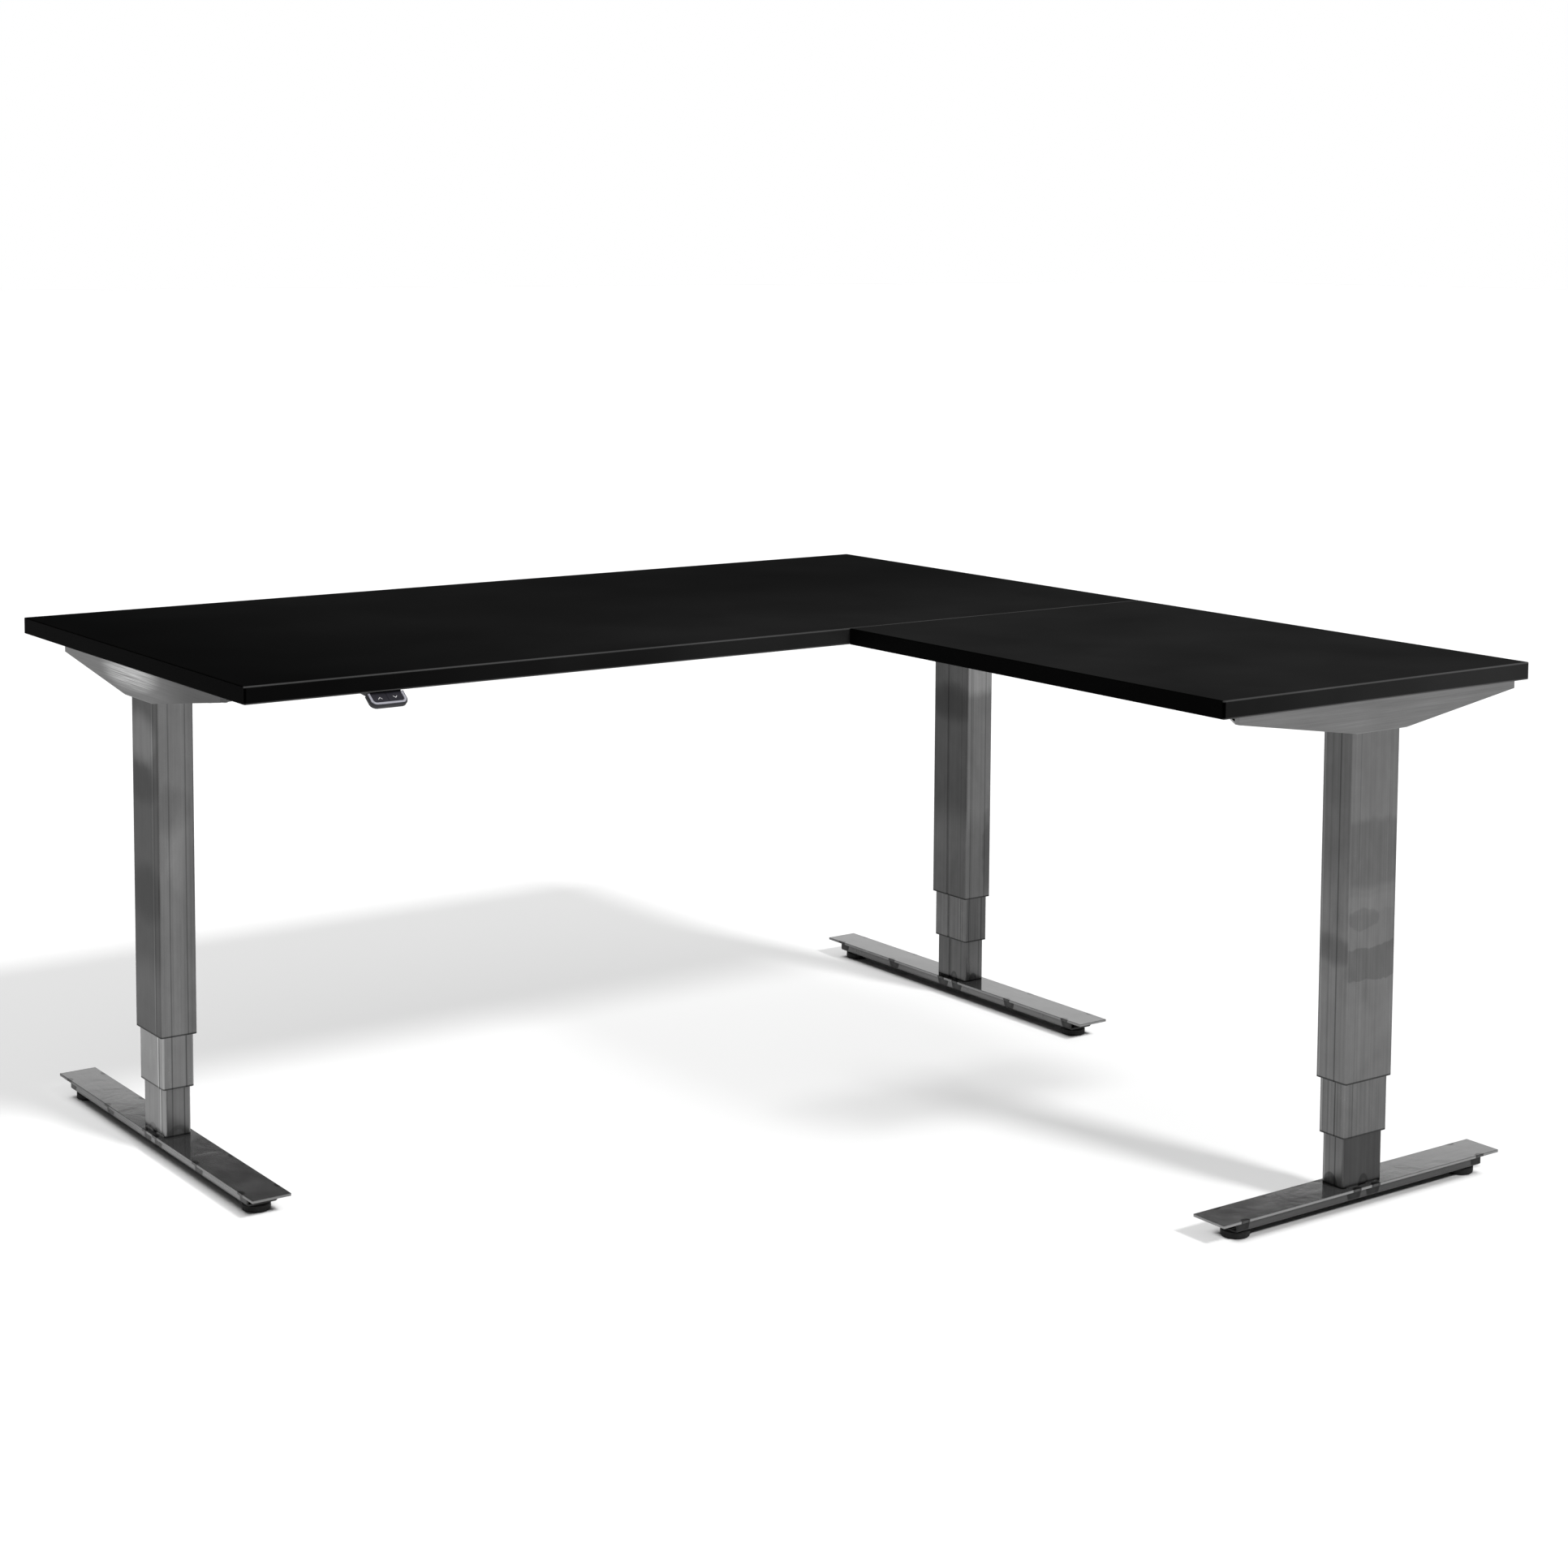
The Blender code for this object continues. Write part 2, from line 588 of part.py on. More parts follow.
def make_handset(finish):
    tilt = (HANDSET_SLOPE, 0, 0)
    place = (HANDSET_X, 0.004, UNDERSIDE - 0.0015)
    outline = face_outline(FACE_WIDTH / 2, 0.0, -FACE_LENGTH, FACE_CORNER)
    slab = stacked([(outline, -FACE_THICKNESS), (outline, -0.0006), (outline, 0.0)])
    housing = add_object("handset_housing", slab, finish["housing"], None, place, tilt)

    wedge_back = 0.056
    wedge = [
        (0.0, UNDERSIDE - 0.0075),
        (wedge_back, UNDERSIDE - 0.0020),
        (wedge_back, MOUNTING_LEVEL),
        (0.0060, MOUNTING_LEVEL),
        (0.0, UNDERSIDE - 0.0050),
    ]
    half_wedge = FACE_WIDTH / 2 - 0.003
    join(housing, along_x(stacked([(wedge, -half_wedge), (wedge, half_wedge)])), None, (HANDSET_X, 0, 0))
    pad = face_outline(KEY_PAD_WIDTH / 2, KEY_PAD_TOP, KEY_PAD_BOTTOM, KEY_PAD_CORNER)
    cut(housing, stacked([(pad, -KEY_PAD_DEPTH), (pad, 0.004)]), None, place, tilt)

    frame = Matrix.Translation(place) @ Matrix.Rotation(HANDSET_SLOPE, 4, "X")
    for word, side in (("up", -1), ("down", 1)):
        outline = key_outline(side)
        centre = (side * KEY_PAD_WIDTH / 4, (KEY_PAD_TOP + KEY_PAD_BOTTOM) / 2, 0)
        key = stacked([(outline, -KEY_THICKNESS), (outline, 0.0)])
        add_object(f"{word}_key", key, finish["key"], None, frame @ Vector(centre), tilt)


def main():
    clear_scene()
    finish = make_materials()
    make_tops(finish)
    make_legs(finish)
    make_beams(finish)
    make_control_box(finish)
    make_handset(finish)


main()
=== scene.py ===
"""Looks for the height adjustable standing desk: a finish for each CAD node, and the small pieces on them.

Metres, in the frame's own coordinates. A leg's own space has its origin on the floor under the column's
middle, +X towards the leg's motor and +Y along its foot.
"""

import math

import bmesh
import bpy
from mathutils import Matrix, Quaternion, Vector


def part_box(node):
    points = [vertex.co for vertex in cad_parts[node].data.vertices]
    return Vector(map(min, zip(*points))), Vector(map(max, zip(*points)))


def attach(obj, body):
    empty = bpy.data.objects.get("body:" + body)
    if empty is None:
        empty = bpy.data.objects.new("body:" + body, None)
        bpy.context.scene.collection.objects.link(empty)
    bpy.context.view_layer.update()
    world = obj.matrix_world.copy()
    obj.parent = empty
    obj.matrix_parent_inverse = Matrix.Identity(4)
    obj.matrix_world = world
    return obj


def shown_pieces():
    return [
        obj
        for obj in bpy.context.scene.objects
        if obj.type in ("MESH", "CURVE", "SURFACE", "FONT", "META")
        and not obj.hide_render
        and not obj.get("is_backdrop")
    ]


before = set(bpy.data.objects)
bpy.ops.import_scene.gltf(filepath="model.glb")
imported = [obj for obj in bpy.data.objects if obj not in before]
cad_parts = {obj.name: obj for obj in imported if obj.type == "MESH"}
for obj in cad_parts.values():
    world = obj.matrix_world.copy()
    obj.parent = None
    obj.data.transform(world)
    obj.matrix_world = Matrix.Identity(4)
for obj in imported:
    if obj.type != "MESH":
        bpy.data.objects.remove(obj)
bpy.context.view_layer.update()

LEGS = (1, 2, 3)
STAGES = ("outer", "middle", "inner")
GLIDE_SIDES = {1: ("rear", "front"), 2: ("front", "rear"), 3: ("left", "right")}
QUARTER = math.pi / 2
# How far a weld bead reaches into the parts that it joins.
EMBED = 0.0004
# Places of the welds along a foot: channel to plate, and column to plate.
STITCH_WELDS = {1: (-0.310, -0.160, 0.160, 0.310), 2: (-0.310, -0.160, 0.160, 0.310), 3: (-0.235, 0.235)}
BASE_WELDS = (-0.019, 0.019)


def middle(node):
    low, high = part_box(node)
    return (low + high) / 2


def size(node):
    low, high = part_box(node)
    return high - low


def leg_size(node, number):
    """A node's sizes along the X and Y of its leg's own space. Leg 3 stands square to the others."""
    extent = size(node)
    return (extent.y, extent.x) if number == 3 else (extent.x, extent.y)


def leg_space(number):
    centre = middle(f"column_{number}_inner_tube")
    inboard = middle(f"motor_{number}") - centre
    turn = round(math.atan2(inboard.y, inboard.x) / QUARTER) * QUARTER
    return Matrix.Translation((centre.x, centre.y, 0)) @ Matrix.Rotation(turn, 4, "Z")


# ---- finishes: node trees written as arithmetic -----------------------------------------------------
class Field:
    """A number that varies over a surface. Arithmetic on it adds Math nodes to its tree."""

    def __init__(self, tree, socket):
        self.tree = tree
        self.socket = socket

    def math(self, operation, *others):
        node = self.tree.nodes.new("ShaderNodeMath")
        node.operation = operation
        for slot, value in zip(node.inputs, (self, *others)):
            connect(self.tree, value, slot)
        return Field(self.tree, node.outputs[0])

    def __add__(self, other):
        return self.math("ADD", other)

    def __sub__(self, other):
        return self.math("SUBTRACT", other)

    def __mul__(self, other):
        return self.math("MULTIPLY", other)

    def __truediv__(self, other):
        return self.math("DIVIDE", other)

    def size(self):
        return self.math("ABSOLUTE")

    def flip(self):
        """One minus the field."""
        return self * -1.0 + 1.0

    def least(self, other):
        return self.math("MINIMUM", other)

    def most(self, other):
        return self.math("MAXIMUM", other)

    def sine(self):
        return self.math("SINE")

    def step(self, start, end):
        """0 on start's side, 1 on end's side, and smooth between the two. Start may be above end."""
        node = self.tree.nodes.new("ShaderNodeMapRange")
        node.interpolation_type = "SMOOTHSTEP"
        connect(self.tree, self, node.inputs["Value"])
        low, high = min(start, end), max(start, end)
        node.inputs["From Min"].default_value = low
        node.inputs["From Max"].default_value = high
        node.inputs["To Min"].default_value = 0.0 if start <= end else 1.0
        node.inputs["To Max"].default_value = 1.0 if start <= end else 0.0
        return Field(self.tree, node.outputs["Result"])

    def line(self, at, half_width, soft=0.5):
        """1 on a narrow band around a value, with soft edges."""
        return (self - at).size().step(half_width * (1 + soft), half_width * (1 - soft))

    def vary(self, amount):
        """A factor around 1 from a field around 0.5."""
        return (self - 0.5) * (2 * amount) + 1.0

    def dim(self, factor):
        """A factor that is 1 where the field is 0, and the given one where it is 1."""
        return self * (factor - 1.0) + 1.0


def connect(tree, value, slot):
    if isinstance(value, Field):
        tree.links.new(value.socket, slot)
    else:
        slot.default_value = value


SOCKETS = {
    "metallic": "Metallic",
    "specular": "Specular IOR Level",
    "coat": "Coat Weight",
    "coat_roughness": "Coat Roughness",
    "edge_tint": "Specular Tint",
}


class Finish:
    """A Principled material, its fields measured in a space of its own."""

    def __init__(self, name, space=None, **uniform):
        self.material = bpy.data.materials.new(name)
        self.material.use_nodes = True
        self.tree = self.material.node_tree
        self.shader = self.tree.nodes["Principled BSDF"]
        for socket, value in uniform.items():
            self.shader.inputs[SOCKETS[socket]].default_value = value
        space = space or Matrix.Identity(4)
        self.point = self.add("ShaderNodeMapping", vector_type="TEXTURE")
        self.tree.links.new(self.add("ShaderNodeTexCoord").outputs["Object"], self.point.inputs["Vector"])
        self.point.inputs["Location"].default_value = space.translation
        self.point.inputs["Rotation"].default_value = space.to_euler()
        split = self.add("ShaderNodeSeparateXYZ")
        self.tree.links.new(self.point.outputs[0], split.inputs[0])
        self.x, self.y, self.z = (Field(self.tree, out) for out in split.outputs)

    def add(self, kind, **settings):
        node = self.tree.nodes.new(kind)
        for name, value in settings.items():
            setattr(node, name, value)
        return node

    def noise(self, across, up, along=None, detail=2.0, seed=0.0, distortion=0.0):
        """Noise around 0.5. The scales are features per metre along the space's X, Z and Y."""
        spread = self.add("ShaderNodeMapping")
        spread.inputs["Scale"].default_value = (across, across if along is None else along, up)
        spread.inputs["Location"].default_value = (seed, 1.7 * seed, 0.6 * seed)
        texture = self.add("ShaderNodeTexNoise")
        texture.inputs["Scale"].default_value = 1.0
        texture.inputs["Detail"].default_value = detail
        texture.inputs["Distortion"].default_value = distortion
        self.tree.links.new(self.point.outputs[0], spread.inputs["Vector"])
        self.tree.links.new(spread.outputs[0], texture.inputs["Vector"])
        return Field(self.tree, texture.outputs[0])

    def grey(self, field):
        connect(self.tree, field, self.shader.inputs["Base Color"])

    def colour(self, field, dark, light):
        """Base colour from dark where the field is 0 to light where it is 1."""
        mix = self.add("ShaderNodeMix", data_type="RGBA")
        connect(self.tree, field, mix.inputs["Factor"])
        for slot in mix.inputs:
            if slot.type == "RGBA":
                slot.default_value = (*(dark if slot.name == "A" else light), 1.0)
        result = next(out for out in mix.outputs if out.type == "RGBA")
        self.tree.links.new(result, self.shader.inputs["Base Color"])

    def roughness(self, field):
        connect(self.tree, field.least(1.0).most(0.05), self.shader.inputs["Roughness"])

    def bump(self, height, distance):
        node = self.add("ShaderNodeBump")
        connect(self.tree, height, node.inputs["Height"])
        node.inputs["Distance"].default_value = distance
        self.tree.links.new(node.outputs["Normal"], self.shader.inputs["Normal"])


# ---- steel ----------------------------------------------------------------------------------------
# Tones of each stage: the faces that look along its leg's X, then those that look along its Y. They are set
# leg by leg and face by face for the light each face gets: painted light and shade on one steel.
COLUMN_TONES = {
    1: {"outer": (0.072, 0.170), "middle": (0.320, 0.184), "inner": (0.275, 0.142)},
    2: {"outer": (0.066, 0.142), "middle": (0.154, 0.080), "inner": (0.112, 0.093)},
    3: {"outer": (0.160, 0.160), "middle": (0.133, 0.146), "inner": (0.050, 0.136)},
}
# Lines rolled into a tube's faces: axis of the face, place as a share of the way from the face's middle to
# its edge, half width, factor on the tone.
ROLLED_LINES = {
    1: (
        ("x", -0.58, 0.0008, 2.4),
        ("x", -0.66, 0.0022, 0.66),
        ("y", -0.42, 0.0011, 0.66),
        ("y", 0.50, 0.0010, 0.62),
        ("y", 0.77, 0.0070, 0.90),
    ),
    2: (
        ("y", 0.66, 0.0009, 0.60),
        ("y", 0.54, 0.0006, 0.78),
        ("y", -0.48, 0.0010, 0.62),
        ("x", 0.68, 0.0010, 0.80),
    ),
    3: (
        ("y", 0.80, 0.0008, 1.6),
        ("y", -0.20, 0.0012, 0.56),
        ("y", 0.32, 0.0016, 0.82),
        ("x", 0.66, 0.0008, 0.86),
    ),
}
# Power that a line's factor is raised to on each stage.
LINE_DEPTHS = {"outer": 1.0, "middle": 1.6, "inner": 1.3}
# Lighter and darker patches on an outer tube, partly heat and mill-scale marks and partly painted shade and
# reflection: axis of the face, place across it, half width, height, half height, softness of the edge,
# factor on the tone.
PATCHES = {
    1: (
        ("x", 0.012, 0.060, 0.545, 0.026, 0.9, 0.62),
        ("x", 0.012, 0.045, 0.612, 0.034, 0.9, 2.20),
        ("x", -0.004, 0.060, 0.385, 0.040, 0.9, 0.60),
        ("x", 0.010, 0.040, 0.455, 0.022, 0.9, 1.04),
        ("x", 0.000, 0.080, 0.225, 0.060, 0.8, 1.50),
        ("y", 0.006, 0.016, 0.455, 0.060, 0.9, 1.16),
        ("y", -0.010, 0.035, 0.515, 0.030, 0.9, 0.84),
        ("y", 0.018, 0.012, 0.300, 0.200, 0.6, 0.86),
    ),
    2: (
        ("x", 0.004, 0.060, 0.525, 0.030, 0.9, 0.56),
        ("x", -0.020, 0.007, 0.620, 0.009, 0.5, 0.62),
        ("x", 0.020, 0.030, 0.580, 0.020, 0.9, 1.20),
        ("x", 0.000, 0.200, 0.230, 0.090, 0.9, 1.75),
        ("y", 0.000, 0.200, 0.625, 0.080, 0.30, 1.65),
        ("y", 0.000, 0.200, 0.240, 0.070, 0.9, 0.80),
        ("y", -0.020, 0.010, 0.270, 0.080, 0.8, 0.70),
    ),
    3: (
        ("x", 0.000, 0.200, 0.500, 0.046, 0.30, 0.80),
        ("x", 0.020, 0.030, 0.411, 0.015, 0.20, 0.84),
        ("x", 0.000, 0.200, 0.346, 0.0235, 0.10, 0.76),
        ("x", 0.000, 0.200, 0.430, 0.012, 0.60, 1.08),
        ("y", 0.000, 0.200, 0.630, 0.140, 0.9, 0.76),
        ("y", 0.000, 0.060, 0.365, 0.018, 0.9, 0.70),
    ),
}
# Heat marks round the welds at a column's foot: axis of the face, place across it, half width, height,
# factor on the tone.
BASE_MARKS = {
    1: (
        ("y", 0.000, 0.016, 0.016, 0.84),
        ("x", 0.006, 0.016, 0.012, 0.72),
        ("x", -0.012, 0.012, 0.009, 0.74),
    ),
    2: (
        ("x", 0.008, 0.009, 0.014, 0.50),
        ("y", 0.002, 0.009, 0.014, 0.50),
    ),
    3: (
        ("x", -0.002, 0.010, 0.015, 0.46),
        ("y", 0.004, 0.013, 0.018, 0.50),
    ),
}
# Heat marks over a foot's stitch welds: half sizes of the mark and of its paler core, softness of its edge.
STITCH_MARKS = {
    "plate": ((0.0085, 0.0062), (0.0045, 0.0030), 0.2),
    "channel": ((0.0140, 0.0190), (0.0070, 0.0120), 0.12),
}
BRACKET_TONES = {1: 0.185, 2: 0.19, 3: 0.190}
# Tones of each foot's plate and channel, set foot by foot for the light each gets: painted light and shade
# on one steel.
FOOT_TONES = {"plate": {1: 0.175, 2: 0.20, 3: 0.22}, "channel": {1: 0.115, 2: 0.115, 3: 0.052}}
# How much the die streaks change a stage's tone, where it isn't the usual amount.
USUAL_STREAK = 0.24
STREAKS = {1: {"middle": 0.12}, 2: {"middle": 0.55, "inner": 0.35}, 3: {"middle": 0.45}}
LACQUER = {"metallic": 1.0, "coat": 0.10, "coat_roughness": 0.06, "edge_tint": (0.6, 0.6, 0.6, 1.0)}


def spot(across, at, half_width, up, height_at, half_height, edge=0.25):
    """1 inside an ellipse, with a soft edge."""
    a = (across - at) / half_width
    b = (up - height_at) / half_height
    return (a * a + b * b).step(1.0 + edge, 1.0 - edge)


def column_steel(number, stage):
    """Lacquered raw steel tube: die streaks, rolled lines, heat marks at its foot, patches partly of mill
    scale and partly of painted shade and reflection, and painted shade and highlights on its faces,
    corners, groove and rim.
    """
    node = f"column_{number}_{stage}_tube"
    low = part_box(node)[0].z
    half_width, half_length = (extent / 2 for extent in leg_size(node, number))
    metal = {"metallic": 0.7} if stage == "inner" else {}
    made = Finish(f"raw_steel_{number}_{stage}", leg_space(number), **{**LACQUER, **metal})
    seed = 3.1 * number + 1.3 * STAGES.index(stage)
    on_x = made.x.size().step(half_width - 0.0036, half_width - 0.0002)
    on_y = on_x.flip()
    faces = {"x": (made.y, on_x), "y": (made.x, on_y)}
    fine = made.noise(1100, 5, seed=seed)
    streak = made.noise(230, 1.6, seed=seed + 7, detail=3)
    blotch = made.noise(16, 9, seed=seed + 11, detail=4, distortion=0.6)
    cloud = made.noise(60, 30, seed=seed + 17, detail=5)
    x_tone, y_tone = COLUMN_TONES[number][stage]
    tone = on_x * (x_tone - y_tone) + y_tone
    streaked = streak.vary(STREAKS[number].get(stage, USUAL_STREAK))
    tone = tone * fine.vary(0.14) * streaked * blotch.vary(0.30) * cloud.vary(0.12)
    wobble = (cloud - 0.5) * 0.010 + (blotch - 0.5) * 0.026
    for axis, share, half, factor in ROLLED_LINES[number]:
        across, face = faces[axis]
        place = share * (half_length if axis == "x" else half_width)
        line = across.line(place, half) * face * fine.step(0.25, 0.45)
        tone = tone * line.dim(factor ** LINE_DEPTHS[stage])
    # Painted shade: a darker stripe down the tube's inboard face, where a groove runs.
    groove_shade = made.y.line(-0.0046, 0.0034, 0.15) * made.x.step(0.0, half_width / 2)
    tone = tone * groove_shade.dim(0.62)
    if stage == "outer":
        # Patches: partly heat and mill-scale marks, partly painted shade and reflection.
        for axis, place, half, height, half_height, soft, factor in PATCHES[number]:
            across, face = faces[axis]
            mark = spot(across + wobble, place, half, made.z + wobble, height, half_height, soft)
            tone = tone * (mark * face).dim(factor)
    if stage == "inner":
        for axis, place, half, height, factor in BASE_MARKS[number]:
            across, face = faces[axis]
            jitter = (cloud - 0.5) * 0.003
            heat = spot(across + jitter, place, half, made.z + jitter, low, height, 0.12)
            core = spot(across, place, half * 0.55, made.z, low, height * 0.60, 0.5)
            tone = tone * (heat * face).dim(factor) * (core * face).dim(1.45)
        # Painted reflection: an inner tube's Y faces grow paler towards its foot, standing in for the floor
        # they mirror.
        tone = tone * (on_y * made.z.step(low + 0.090, low + 0.010)).dim(1.35)
    speck = made.noise(1500, 900, seed=seed + 23, detail=0).step(0.72, 0.80) * cloud.step(0.5, 0.7)
    tone = tone * speck.dim(1.9 if stage == "middle" else 1.3)
    # Painted highlight along the tube's vertical corners.
    corner = on_x * on_y * 4.0
    # Painted shade: each tube darkens over its lowest two millimetres, standing in for the dark gap at its
    # rim.
    tone = tone * corner.dim(1.15) * made.z.step(low + 0.0030, low + 0.0016).dim(0.30)
    made.grey(tone.least(0.75))
    made.roughness(blotch.vary(0.30) * streak.vary(0.15) * 0.33)
    made.bump(fine * 0.5 + streak + cloud * 0.4, 0.00006)
    return made.material


def foot_steel(number, word):
    """Lacquered flat bar or channel: lengthwise streaks, and heat marks over each stitch weld."""
    made = Finish(f"foot_steel_{number}_{word}", leg_space(number), **{**LACQUER, "metallic": 0.6})
    seed = 5.3 * number + (0.0 if word == "plate" else 2.9)
    fine = made.noise(900, 900, along=7, seed=seed)
    streak = made.noise(150, 150, along=3, seed=seed + 5, detail=3)
    blotch = made.noise(22, 22, seed=seed + 9, detail=4, distortion=0.5)
    tone = fine.vary(0.08) * streak.vary(0.12) * blotch.vary(0.22) * FOOT_TONES[word][number]
    node = f"foot_{number}_{word}"
    low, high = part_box(node)
    jitter = (blotch - 0.5) * 0.006
    mark, core, soft = STITCH_MARKS[word]
    if word == "plate":
        up, top = made.x.size(), leg_size(node, number)[0] / 2
    else:
        up, top = made.z, high.z
    for place in (*STITCH_WELDS[number], *BASE_WELDS):
        heat = spot(made.y + jitter, place, mark[0], up, top, mark[1], soft)
        centre = spot(made.y, place, core[0], up, top, core[1], 0.5)
        tone = tone * heat.dim(0.16) * centre.dim(1.6)
    if word == "plate":
        tone = tone * made.z.step(high.z - 0.0006, high.z - 0.0012).dim(1.15)
        made.roughness(blotch.vary(0.4) * 0.09)
        made.bump(blotch + fine * 0.02, 0.00014)
    else:
        tone = tone * made.z.line((low.z + high.z) / 2, 0.0030, 0.6).dim(2.0 if number == 1 else 1.3)
        made.roughness(blotch.vary(0.3) * 0.30)
        made.bump(blotch * 0.6 + fine * 0.2, 0.00020)
    made.grey(tone.least(0.8))
    return made.material


def beam_steel(name, along_x):
    """Raw steel tube with streaks along its length."""
    made = Finish(f"{name}_steel", **LACQUER)
    long, cross = 2.5, 260
    scales = (long, cross) if along_x else (cross, long)
    streak = made.noise(scales[0], cross, along=scales[1], seed=len(name), detail=3)
    fine = made.noise(scales[0] * 3, 1100, along=scales[1] * 4, seed=len(name) + 3)
    blotch = made.noise(20, 20, seed=len(name) + 8, detail=4)
    made.grey(streak.vary(0.30) * fine.vary(0.15) * blotch.vary(0.30) * 0.15)
    made.roughness(blotch.vary(0.35) * 0.32)
    made.bump(streak + fine * 0.5, 0.00006)
    return made.material


def bracket_steel(number):
    """Brushed sheet steel, the brush marks along the foot's direction. Bracket 1 has a painted glint near
    its middle and painted shade towards its near end.
    """
    node = f"side_bracket_{number}"
    made = Finish(f"brushed_steel_{number}", leg_space(number), **{**LACQUER, "coat_roughness": 0.10})
    low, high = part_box(node)
    brush = made.noise(1300, 1300, along=12, seed=number * 2.3, detail=3)
    wide = made.noise(260, 260, along=5, seed=number * 2.3 + 4, detail=2)
    blotch = made.noise(14, 30, along=11, seed=number * 2.3 + 8, detail=4)
    tone = brush.vary(0.30) * wide.vary(0.22) * blotch.vary(0.22) * BRACKET_TONES[number]
    if number == 1:
        # Painted glint near the middle of bracket 1's top, and painted shade towards its near end, where it
        # mirrors darker surroundings.
        glint = spot(made.y, 0.030, 0.085, made.z, high.z - 0.012, 0.022, 0.95) * brush.step(0.15, 0.80)
        tone = tone * glint.dim(3.6) * made.y.step(-0.02, -0.20).dim(0.50)
    tone = tone * made.z.step(low.z + 0.0014, low.z + 0.0004).dim(1.25)
    made.grey(tone.least(0.85))
    made.roughness(brush.vary(0.25) * blotch.vary(0.20) * 0.34)
    made.bump(brush * 0.6 + wide * 0.3, 0.00004)
    return made.material


def zinc_steel(name, tone=0.50, seed=0.0):
    made = Finish(name, metallic=1.0)
    grain = made.noise(900, 900, seed=seed, detail=3)
    blotch = made.noise(120, 120, seed=seed + 4, detail=3)
    made.grey(grain.vary(0.15) * blotch.vary(0.20) * tone)
    made.roughness(blotch.vary(0.35) * 0.30)
    made.bump(grain, 0.00003)
    return made.material


def threaded_steel(number, word, pitch):
    """Bright steel with a trapezoidal thread's lines winding round it."""
    made = Finish(f"{word}_thread_{number}", leg_space(number), metallic=1.0)
    turn = made.y.math("ARCTAN2", made.x)
    thread = (made.z * (2 * math.pi / pitch) + turn).sine().step(-0.45, 0.45)
    grain = made.noise(600, 600, seed=number)
    made.grey(thread.dim(1.5) * grain.vary(0.15) * 0.36)
    made.roughness(grain.vary(0.30) * 0.26)
    made.bump(thread, 0.0006)
    return made.material


def weld_steel(number):
    """Dark, heat-stained weld metal with bright ripples."""
    made = Finish(f"weld_steel_{number}", leg_space(number), **LACQUER)
    grain = made.noise(420, 420, seed=number, detail=3)
    stain = made.noise(90, 90, seed=number + 5, detail=2)
    bright = number == 1
    made.grey(grain.vary(0.40) * stain.vary(0.50) * (0.15 if bright else 0.035))
    made.roughness(grain.vary(0.40) * (0.28 if bright else 0.50))
    made.bump(grain, 0.00015)
    return made.material


# ---- plastics, rubber, laminate, castings -----------------------------------------------------------
def moulded(name, dark, light, roughness, grain_scale=2600, grain=0.00003, specular=0.5):
    """Moulded plastic or rubber: spark-eroded grain, and slow changes in colour and gloss."""
    made = Finish(name, specular=specular)
    grain_field = made.noise(grain_scale, grain_scale, seed=len(name), detail=2)
    flow = made.noise(70, 70, seed=len(name) + 3, detail=3)
    made.colour(flow.step(0.25, 0.75) * 0.7 + grain_field * 0.3, dark, light)
    made.roughness(grain_field.vary(0.12) * flow.vary(0.15) * roughness)
    made.bump(grain_field, grain)
    return made.material


# Tones of each board, with painted light and shade in them: its top's left end (painted shade), its middle,
# and its front right (painted sheen), then its front band's two ends (a painted sheen that rises to the
# right). The return's paler tones are painted light on the same black laminate.
BOARD_TONES = {
    "main_desktop": (0.0036, 0.0105, 0.0210, 0.0035, 0.0300),
    "return_desktop": (0.0225, 0.0225, 0.0240, 0.0150, 0.0290),
}


def laminate(node):
    """Black board with a fine orange peel: painted shade on its left end and left band, a painted sheen
    towards its front right and along its front band, a painted highlight on its front arris.
    """
    low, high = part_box(node)
    centre = (low + high) / 2
    half = (high - low) / 2
    made = Finish(f"{node}_laminate", Matrix.Translation(centre), specular=0.004)
    peel = made.noise(1900, 1900, seed=len(node), detail=2)
    cloud = made.noise(5, 5, seed=len(node) + 4, detail=3)
    to_edge = (made.x.size() * -1.0 + half.x).least(made.y.size() * -1.0 + half.y)
    to_face = made.z.size() * -1.0 + half.z
    arris = to_edge.step(0.0030, 0.0010) * to_face.step(0.0026, 0.0010)
    band = to_edge.step(0.0016, 0.0014)
    front = made.y.step(0.0040 - half.y, 0.0020 - half.y)
    left = made.x.step(0.0040 - half.x, 0.0020 - half.x)
    shaded_left_tone, top_tone, sheen_tone, band_left, band_right = BOARD_TONES[node]
    # Painted sheen towards the top's front right, and painted shade towards its left end.
    near = made.y.step(half.y * 0.3, -half.y) * made.x.step(-half.x * 0.6, half.x * 0.3)
    top = made.x.step(-half.x, -half.x * 0.4) * (top_tone - shaded_left_tone) + shaded_left_tone
    top = top + near * (sheen_tone - top_tone)
    front_sheen = made.x.step(-half.x, half.x) * (band_right - band_left) + band_left
    # Painted shade makes the left band near black; a painted sheen pales the front band to the right.
    board = (band * left).dim(0.10) * top + band * front * (front_sheen - top)
    # Painted highlight along the front arris.
    made.grey((board + arris * front * 0.070) * cloud.vary(0.45) * peel.vary(0.12))
    made.roughness(peel.vary(0.10) * cloud.vary(0.08) * band.dim(0.85) * 0.52)
    made.bump(peel, 0.00002)
    return made.material


def cast_aluminium(number):
    made = Finish(f"cast_aluminium_{number}", metallic=1.0)
    sand = made.noise(1100, 1100, seed=number, detail=3)
    flow = made.noise(60, 60, seed=number + 6, detail=3)
    made.grey(sand.vary(0.18) * flow.vary(0.20) * 0.40)
    made.roughness(sand.vary(0.15) * flow.vary(0.15) * 0.48)
    made.bump(sand, 0.00012)
    return made.material


